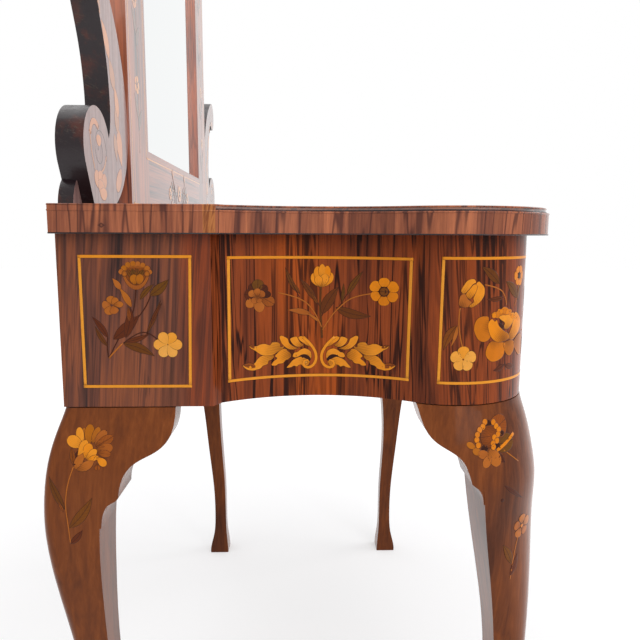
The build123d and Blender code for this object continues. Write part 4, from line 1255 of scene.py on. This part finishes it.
def spray(plates, at, side, scale):
    """A bent spray of leaves and flowers that runs outwards from a point."""
    p = placed(at, side, scale)
    s = scale
    plates.band(1.5 * s, PEACH, [p(0, 0), p(16, 10), p(34, 12), p(54, 4)],
                [p(20, 11), p(28, 24), p(30, 32)], [p(24, 12), p(36, -4), p(44, -14)], taper=0.7)
    plates.blades("leaf", (p(8, 5), p(18, 24), 4.2 * s, OLIVE, 0.1),
                  (p(12, 8), p(22, -12), 4.4 * s, CHERRY, 0.1),
                  (p(30, 12), p(46, 26), 4.4 * s, RUSSET + 0.1, -0.1),
                  (p(38, 10), p(58, 18), 4.0 * s, CHERRY, 0.1),
                  (p(34, 0), p(52, -4), 3.8 * s, OLIVE, 0.1),
                  (p(2, 2), p(6, -14), 3.6 * s, CHERRY, -0.1))
    plates.flower(p(60, 3), 6, 2.8 * s, 9.0 * s, 5.0 * s, GOLD, turn=15, heart=RUSSET, scorch=0.5)
    plates.flower(p(46, -18), 5, 0.6 * s, 8.6 * s, 4.8 * s, HONEY, turn=50, scorch=0.5)
    tulip(plates, p(31, 42), side, 0.8 * s, AMBER)


def front_marquetry():
    """Stringing and sprays on the drawer fronts, and veneer with stringing on what divides them."""
    inset = 9.0
    for place in ("left", "centre", "right"):
        node = f"drawer_{place}_front"
        low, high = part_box(node)
        plates = Plates()
        x0, x1 = low.x / MM + inset, high.x / MM - inset
        z0, z1 = low.z / MM + inset, high.z / MM - inset
        plates.frame_line((x0, z0), (x1, z0), (x1, z1), (x0, z1))
        middle, level = (x0 + x1) / 2, (z0 + z1) / 2
        if place == "centre":
            for side in (-1, 1):
                acanthus(plates, (middle, z0 + 6), side)
                plates.band(1.4, PEACH, [(middle + side * 3, level - 8),
                                         (middle + side * 22, level + 16),
                                         (middle + side * 50, level + 26)])
                plates.flower((middle + side * 56, level + 28), 6, 2.6, 7.6, 4.4, GOLD, heart=RUSSET)
                plates.blades(
                    "leaf", ((middle + side * 24, level + 17), (middle + side * 30, level + 38), 3.6,
                             OLIVE, 0.1), ((middle + side * 34, level + 22),
                                           (middle + side * 52, level + 6), 3.6, CHERRY, 0.1))
        else:
            for side in (-1, 1):
                spray(plates, (middle + side * 4, level - 34), side, 0.72)
        plates.lay(f"marquetry_drawer_{place}", from_the_front(node), f"drawer_{place}")
    plates = Plates()
    for node in ("front_rail_lower", "front_rail_upper"):
        low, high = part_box(node)
        level = (low.z + high.z) / 2 / MM
        plates.band(1.6, GOLD, [(low.x / MM + 3, level), (high.x / MM - 3, level)], smooth=False)
    dividers = ("divider_left", "divider_right")
    for node in dividers:
        low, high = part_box(node)
        middle = (low.x + high.x) / 2 / MM
        foot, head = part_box("front_rail_lower")[1].z / MM + 1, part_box("front_rail_upper")[0].z / MM - 1
        plates.band(15.0, RUSSET + 0.19, [(middle, foot), (middle, head)], smooth=False)
        plates.band(1.6, GOLD, [(middle, foot), (middle, head)], smooth=False)
    plates.lay("stringing_front_rails",
               from_the_front("front_rail_lower", "front_rail_upper", *dividers))


def mirror_marquetry():
    """Stringing round the mirror frame, and sprays up its stiles and over its crown."""
    plates = Plates(0.5, "inlay_mirror")
    settings = bpy.context.scene.table_marquetry
    width = settings.string_width / MM * 0.7
    edge, glass_edge = 9.0, 9.5
    outer = STILE_LOW.x / MM + edge
    inner = STILE_HIGH.x / MM - glass_edge
    foot = LEAF_HIGH.z / MM
    sill = RAIL_HIGH.z / MM - glass_edge
    head = CROWN_LOW.z / MM
    plates.band(width, settings.string_wood, [(inner, sill), (-inner, sill)],
                [(inner, head + glass_edge), (-inner, head + glass_edge)],
                [(inner, sill), (inner, head + glass_edge)],
                [(-inner, sill), (-inner, head + glass_edge)],
                [(outer, foot + edge), (outer, head + 20)], [(-outer, foot + edge), (-outer, head + 20)],
                [(outer, foot + edge), (-outer, foot + edge)], smooth=False)
    middle = (outer + inner) / 2
    for side in (-1, 1):
        x = side * abs(middle)
        plates.band(1.5, PEACH, [(x, foot + 70), (x + 8, foot + 190), (x - 8, foot + 310),
                                 (x + 8, foot + 430), (x, foot + 530)])
        for k in range(5):
            z = foot + 96 + 96 * k
            plates.blades("leaf", ((x, z), (x - 17 * side, z + 27), 5.2, CHERRY - 0.08, 0.12),
                          ((x, z + 12), (x + 16 * side, z + 40), 4.8, OLIVE, -0.12))
            plates.flower((x + 3 * side, z + 52), 5 + k % 2, 2.2, 8.4, 4.8, GOLD + 0.10 * (k % 3),
                          turn=20 * k, heart=RUSSET)
    for x, z, size in ((20, head + 44, 1.05), (22, foot + 30, 0.8)):
        spray(plates, (x, z), 1, size)
        spray(plates, (-x, z), -1, size)
    plates.flower((0, head + 52), 8, 5.0, 13.0, 6.4, GOLD, turn=22, heart=RUSSET)
    plates.flower((0, foot + 36), 6, 3.2, 10.0, 5.6, GOLD, heart=RUSSET)
    surface = from_the_front("mirror_stile_left", "mirror_stile_right", "mirror_lower_rail",
                             "mirror_crown")
    plates.lay("marquetry_mirror", surface)


def scroll_marquetry():
    """Pale strapwork round the eye of a scroll and up its arm."""
    plates = Plates(0.5, "inlay_mirror")
    side = STILE_LOW.x / MM
    eye, oval = (103, 54), 1.12

    def at(out, up):
        return (side - out, TOP_MM + up)

    def arc(radius, start, end, growth):
        """Part of a growing oval round the eye."""
        steps = 9
        line = []
        for i in range(steps + 1):
            a = math.radians(start + (end - start) * i / steps)
            r = radius + growth * i / steps
            line.append(at(eye[0] + r * math.cos(a), eye[1] + r * oval * math.sin(a)))
        return line

    plates.band(1.0, CHERRY, arc(5, 0, 330, 8), arc(13, 330, 560, 9), taper=1.4)
    plates.band(6.4, AMBER + 0.02, [at(104, 75), at(109, 79), at(118, 80.5), at(126.5, 76), at(130, 67)],
                taper=0.5)
    plates.band(2.6, AMBER + 0.06, [at(130.5, 69), at(129, 55), at(124, 43), at(119, 33)], taper=0.7)
    plates.band(3.2, AMBER + 0.06, [at(83, 51), at(87, 42), at(98, 34), at(111, 30)], taper=0.6)
    plates.blades("blunt", (at(105, 58), at(105, 69), 7.5, AMBER, 0, 0.2),
                  (at(105, 20), at(120, 33), 8.0, AMBER + 0.02, 0.10, 0.4),
                  (at(103, 20), at(104, 35), 8.5, AMBER, 0, 0.4),
                  (at(101, 20), at(87, 31), 7.5, AMBER + 0.02, -0.10, 0.4),
                  (at(113, 23), at(93, 10), 8.0, AMBER, 0.15, 0.5),
                  (at(108, 15), at(86, 15), 6.5, AMBER - 0.02, -0.20, 0.4),
                  (at(31, 44), at(51, 20), 8.5, AMBER, 0.10, 0.5))
    plates.blades("leaf", (at(37, 86), at(28, 46), 10.0, AMBER, -0.05, 0.4),
                  (at(52, 78), at(46, 50), 6.5, HONEY, 0.05, 0.3),
                  (at(40, 80), at(44, 112), 8.0, HONEY, -0.06, 0.3),
                  (at(36, 96), at(46, 128), 7.5, AMBER, -0.10, 0.4),
                  (at(46, 122), at(62, 152), 8.5, HONEY, -0.10, 0.3),
                  (at(60, 150), at(82, 183), 8.0, AMBER, -0.12, 0.4),
                  (at(84, 186), at(108, 208), 7.5, HONEY, -0.14, 0.3),
                  (at(116, 213), at(134, 200), 7.0, AMBER, -0.4, 0.4))
    plates.lay("marquetry_scroll", from_the_front("scroll_left"), slot="ebonised", both_sides=True)


def outline(node, height):
    """The sharp edge round a node at one height, as an ordered line of points."""
    mesh = NODES[node].data
    links = {}

    def key(p):
        return (round(p.x, 6), round(p.y, 6))
    for face in mesh.polygons:
        if abs(face.normal.z) > 0.1:
            continue
        corners = [mesh.vertices[i].co for i in face.vertices]
        corners = [c for c in corners if abs(c.z - height) < SAME_HEIGHT]
        if len(corners) == 2 and max(abs(c.x) + abs(c.y) for c in corners) > 0.1:
            a, b = key(corners[0]), key(corners[1])
            links.setdefault(a, set()).add(b)
            links.setdefault(b, set()).add(a)
    start = max(links, key=lambda p: (p[1], p[0]))
    line, before = [start], None
    while True:
        ahead = [p for p in sorted(links[line[-1]]) if p != before and p not in line]
        if not ahead:
            break
        before = line[-1]
        line.append(ahead[0])
    return line


def inward(line, distance):
    """A closed line moved inwards."""
    moved = []
    area = sum(a[0] * b[1] - b[0] * a[1] for a, b in zip(line, line[1:] + line[:1]))
    turn = 1 if area > 0 else -1
    for i, here in enumerate(line):
        before, here, after = Vector(line[i - 1]), Vector(here), Vector(line[(i + 1) % len(line)])
        first, second = (here - before).normalized(), (after - here).normalized()
        run = (first + second).normalized()
        aside = Vector((-run.y, run.x)) * turn
        square = max(0.5, aside.dot(Vector((-first.y, first.x)) * turn))
        place = here + aside * distance / square
        moved.append((place.x, place.y))
    return moved


BORDER = 0.042  # the stringing's distance from the edge of the top
STAND = 0.012  # and from the mirror


def top_marquetry():
    """Stringing round the top and a large spray at its middle."""
    plates = Plates()
    settings = bpy.context.scene.table_marquetry
    edge = outline("top_leaf", LEAF_HIGH.z)
    stand = RAIL_LOW.y - STAND
    border = [(x / MM, (y - MIDDLE) / MM) for x, y in inward(edge, BORDER) if y < stand]
    cut = max(range(len(border)), key=lambda i: (Vector(border[i]) - Vector(border[i - 1])).length)
    border = border[cut:] + border[:cut]
    border = [p for i, p in enumerate(border)
              if i in (0, len(border) - 1) or (Vector(p) - Vector(border[i - 1])).length > 0.4]
    plates.band(settings.string_width / MM, settings.string_wood, border, smooth=False)
    plates.band(settings.string_width / MM, settings.string_wood, [border[0], border[-1]], smooth=False)
    for side in (-1, 1):
        spray(plates, (side * 26, -12), side, 1.7)
        spray(plates, (side * 190, -30), side, 1.5)
        acanthus(plates, (side * 2, -66), side)
        tulip(plates, (side * 350, 60), side, 1.2)
    plates.band(2.0, PEACH, [(0, 40), (2, 66), (0, 86)])
    peony(plates, (0, 18), 1, 1.2)
    plates.flower((0, 96), 8, 6.0, 14.0, 7.0, GOLD, turn=22, heart=RUSSET)
    plates.lay("marquetry_top", from_above("top_leaf"))


def arrises():
    """Rounded, worn edges of the top's band and of its leaf, and two dark beads of painted shade: painted
    shadow in the gap under the band and painted shade in the rebate under the leaf. The rebate, and so
    its bead, ends where band and leaf come flush on the flat part of each side."""
    for name, node, height, rise, inset, radius, wood in (
            # The ebonised beads are painted shade: the first is painted shadow in the gap under the band,
            # the third painted shade in the rebate under the leaf
            ("painted_shadow_under_band", "top_board", BAND_LOW.z, 0.0003, 0.0002, 0.0007, "ebonised"),
            ("arris_band_upper", "top_board", BAND_HIGH.z, -0.0003, 0.0003, 0.0010, "crossband"),
            ("painted_shade_in_rebate", "top_leaf", LEAF_HIGH.z, -0.0038, 0.0002, 0.0010, "ebonised"),
            ("arris_leaf", "top_leaf", LEAF_HIGH.z, -0.0004, 0.0004, 0.0010, "crossband")):
        # The bead of painted shade in the rebate stays open and stops before the flat part
        closed = name != "painted_shade_in_rebate"
        path = [(x, y, height + rise) for x, y in inward(outline(node, height), inset)
                if closed or y < MIDDLE + KNEE + 0.001]
        mesh = grown(TREES["arris"], [path], False, 1.0, {"Radius": radius, "Material": MATERIALS[wood]},
                     closed)
        mesh.shade_smooth()
        piece = linked(name, mesh)
        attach(piece, "case")


LIPPING_OUT = 0.0134  # how far its face stands beyond the flank panel
LIPPING_THICK = 0.003
LIPPING_FRONT = 0.0835  # where it begins behind the middle


def lippings():
    """Veneer over the leaf's edge where it is flush with the band, on the flat part of each side."""
    face = FLANK_LOW.x - LIPPING_OUT
    inside = face + LIPPING_THICK
    front, back = MIDDLE + LIPPING_FRONT, BAND_HIGH.y - 0.0002
    corners = [(x, y, z) for z in (BAND_HIGH.z - 0.0008, LEAF_HIGH.z - 0.0010)
               for x, y in ((face, front), (inside, front), (inside, back), (face, back))]
    sides = [(3, 2, 1, 0), (4, 5, 6, 7)] + [(i, (i + 1) % 4, (i + 1) % 4 + 4, i + 4) for i in range(4)]
    for name, sign in (("lipping_left", 1), ("lipping_right", -1)):
        mesh = bpy.data.meshes.new(name)
        mesh.from_pydata([(sign * x, y, z) for x, y, z in corners], [],
                         [side[::sign] for side in sides])
        mesh.materials.append(MATERIALS["crossband"])
        piece = linked(name, mesh)
        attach(piece, "case")


# ---- Operators -----------------------------------------------------------------------------------
class TablePolish(bpy.types.Operator):
    """Gives every part its wood, metal or glass, and builds the trees that repeat petals and lines."""
    bl_idname = "dressing_table.polish"
    bl_label = "Woods and metals"

    def execute(self, context):
        MATERIALS.update({name: sawn_veneer(name, **look) for name, look in VENEERS.items()})
        MATERIALS.update({
            "crossband": cross_banding(),
            "leg_walnut": leg_walnut(),
            "ebonised": ebonised(),
            "oak": plain_oak("plain_oak", GRAIN_ACROSS),
            "oak_deep": plain_oak("oak_deep", GRAIN_DEEP),
            "brass": brass(),
            "steel": steel(),
            "mirror_glass": silvered_glass(),
            "inlay": inlay_wood("inlay_wood"),
            "inlay_mirror": inlay_wood("inlay_mirror", 1.0, 0.8),
        })
        TREES.update({"band": band_tree(), "petals": petal_tree(), "arris": arris_tree()})
        special = {"top_leaf": "top_veneer", "mirror_lower_rail": "rail_veneer",
                   "mirror_crown": "rail_veneer"}
        for side in ("left", "right"):
            special.update({f"mirror_stile_{side}": "stile_veneer",
                            f"flank_panel_{side}": "flank_veneer", f"sweep_panel_{side}": "sweep_veneer",
                            f"corner_block_{side}": "corner_veneer"})
        slots = {part["node"]: part["material_slot"] for part in frame["record"]["subparts"]}
        for node, piece in NODES.items():
            low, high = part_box(node)
            wide, deep, tall = high - low
            if slots[node] == "oak" and deep > max(wide, tall):
                special[node] = "oak_deep"
            piece.data.materials.clear()
            piece.data.materials.append(MATERIALS[special.get(node, slots[node])])
        return {"FINISHED"}


class TableSides(bpy.types.Operator):
    """Lays the marquetry of both sides of the case."""
    bl_idname = "dressing_table.sides"
    bl_label = "Side panels"

    def execute(self, context):
        flank_marquetry()
        sweep_marquetry()
        corner_marquetry()
        return {"FINISHED"}


class TableLegs(bpy.types.Operator):
    """Lays the flowers on the knees of the legs."""
    bl_idname = "dressing_table.legs"
    bl_label = "Legs"

    def execute(self, context):
        rear_leg_marquetry()
        front_leg_marquetry()
        return {"FINISHED"}


class TableFront(bpy.types.Operator):
    """Lays the marquetry of the drawers and rails."""
    bl_idname = "dressing_table.front"
    bl_label = "Drawer fronts"

    def execute(self, context):
        front_marquetry()
        return {"FINISHED"}


class TableTop(bpy.types.Operator):
    """Lays the marquetry of the top and rounds its edges."""
    bl_idname = "dressing_table.top"
    bl_label = "Top"

    def execute(self, context):
        top_marquetry()
        arrises()
        lippings()
        return {"FINISHED"}


class TableMirror(bpy.types.Operator):
    """Lays the marquetry of the mirror frame and its scrolls."""
    bl_idname = "dressing_table.mirror"
    bl_label = "Mirror and scrolls"

    def execute(self, context):
        mirror_marquetry()
        scroll_marquetry()
        return {"FINISHED"}


class TableStage(bpy.types.Operator):
    """Sets up the floor, the lamps, the sky and the camera."""
    bl_idname = "dressing_table.stage"
    bl_label = "Stage"

    def execute(self, context):
        settings = context.scene.table_stage
        context.scene.view_settings.view_transform = "Standard"
        make_sky(context.scene, settings)
        make_floor()
        make_lamps(settings)
        make_camera(context.scene, settings)
        return {"FINISHED"}


# ---- Stage ---------------------------------------------------------------------------------------
WHITE = (1, 1, 1, 1)
FLOOR = (0.58, 0.58, 0.59, 1)
FLOOR_SIZE = 12.0
FLOOR_GLOW, FAR_GLOW = 0.46, 0.28  # what the floor shines of itself, and what it gains far away
NEAR, FAR = 0.4, 2.3  # where that gain begins and where it is complete
SENSOR = 36.0


def make_sky(scene, settings):
    """Even light for the object, and plain white for what is seen or mirrored behind it."""
    world = bpy.data.worlds.new("sky")
    world.use_nodes = True
    scene.world = world
    tree = Tree(world.node_tree)
    rays = tree.add("ShaderNodeLightPath")
    seen = tree.math("MAXIMUM", tree.other(rays, "Is Camera Ray"), tree.other(rays, "Is Glossy Ray"))
    seen = tree.math("MAXIMUM", seen, tree.other(rays, "Is Transmission Ray"))
    even = tree.add("ShaderNodeBackground", None, {"Color": WHITE, "Strength": settings.sky})
    white = tree.add("ShaderNodeBackground", None, {"Color": WHITE, "Strength": 1.0})
    both = tree.add("ShaderNodeMixShader", None, {0: seen, 1: even, 2: white})
    tree.add("ShaderNodeOutputWorld", None, {"Surface": both})


def make_floor():
    """A pale floor that keeps the table's shadow and turns white away from it."""
    mesh = bpy.data.meshes.new("floor")
    corners = [(x * FLOOR_SIZE, y * FLOOR_SIZE, 0) for x, y in ((-1, -1), (1, -1), (1, 1), (-1, 1))]
    mesh.from_pydata(corners, [], [(0, 1, 2, 3)])
    floor = linked("floor", mesh)
    paint = Paint("floor")
    rays = paint.add("ShaderNodeLightPath")
    matt = paint.add("ShaderNodeBsdfDiffuse", None, {"Color": FLOOR})
    out, depth, _ = paint.split(paint.place())
    away = (out * out + depth * depth) ** 0.5
    seen = paint.other(rays, "Is Camera Ray") * (FLOOR_GLOW + away.clear_of(NEAR, FAR) * FAR_GLOW)
    glow = paint.add("ShaderNodeEmission", None, {
        "Color": WHITE, "Strength": seen + paint.other(rays, "Is Glossy Ray")})
    both = paint.add("ShaderNodeAddShader", None, {0: matt, 1: glow})
    paint.add("ShaderNodeOutputMaterial", None, {"Surface": both})
    mesh.materials.append(paint.material)


def make_lamps(settings):
    """Three large soft lamps: before the left end, before the front and above."""
    for name, place, aim, size, power in (
            ("side_lamp", (-2.4, -1.2, 1.9), (0, 0, 0.65), 1.8, settings.lamp * 2.2),
            ("front_lamp", (0.6, -2.6, 2.0), (0, 0, 0.7), 1.6, settings.lamp * 1.4),
            ("roof_lamp", (0.2, 0.4, 3.0), (0, 0, 0.5), 2.4, settings.lamp * 1.6)):
        data = bpy.data.lights.new(name, "AREA")
        data.size = size
        data.energy = power
        lamp = linked(name, data)
        lamp.location = place
        lamp.rotation_euler = (Vector(aim) - Vector(place)).to_track_quat("-Z", "Y").to_euler()


def make_camera(scene, settings):
    """A camera before the left end of the table, looking along it and slightly down."""
    data = bpy.data.cameras.new("camera")
    data.lens = settings.lens
    data.sensor_width = SENSOR
    data.clip_start = 0.02
    camera = linked("camera", data)
    turn, down, roll = settings.turn, settings.down, settings.roll
    ahead = Vector((math.cos(turn) * math.cos(down), -math.sin(turn) * math.cos(down), -math.sin(down)))
    right = Vector((-math.sin(turn), -math.cos(turn), 0))
    up = right.cross(ahead)
    across = right * math.cos(roll) - up * math.sin(roll)
    above = up * math.cos(roll) + right * math.sin(roll)
    axes = Matrix((across, above, -ahead)).transposed().to_4x4()
    place = Vector((FLANK_LOW.x - settings.distance, CORNER_LOW.y + settings.side, settings.height))
    camera.matrix_world = Matrix.Translation(place) @ axes
    scene.camera = camera


class TablePanel(bpy.types.Panel):
    """Lists the steps and the sizes of the dressing table."""
    bl_idname = "VIEW3D_PT_dressing_table"
    bl_label = "Dressing Table"
    bl_space_type = "VIEW_3D"
    bl_region_type = "UI"
    bl_category = "Dressing Table"

    def draw(self, context):
        for operator in OPERATORS:
            self.layout.operator(operator.bl_idname)
        for name, kind in SETTINGS.items():
            box = self.layout.box()
            for key in kind.__annotations__:
                box.prop(getattr(context.scene, name), key)


SETTINGS = {"table_veneer": VeneerSettings, "table_marquetry": MarquetrySettings,
            "table_stage": StageSettings}
OPERATORS = (TablePolish, TableSides, TableLegs, TableFront, TableTop, TableMirror, TableStage)


def register():
    for kind in (*SETTINGS.values(), *OPERATORS, TablePanel):
        bpy.utils.register_class(kind)
    for name, kind in SETTINGS.items():
        setattr(bpy.types.Scene, name, PointerProperty(type=kind))


def unregister():
    for name in SETTINGS:
        delattr(bpy.types.Scene, name)
    for kind in reversed((*SETTINGS.values(), *OPERATORS, TablePanel)):
        bpy.utils.unregister_class(kind)


def main():
    """Dresses the table."""
    register()
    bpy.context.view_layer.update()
    for operator in OPERATORS:
        group, name = operator.bl_idname.split(".")
        getattr(getattr(bpy.ops, group), name)()


if __name__ == "__main__":
    main()
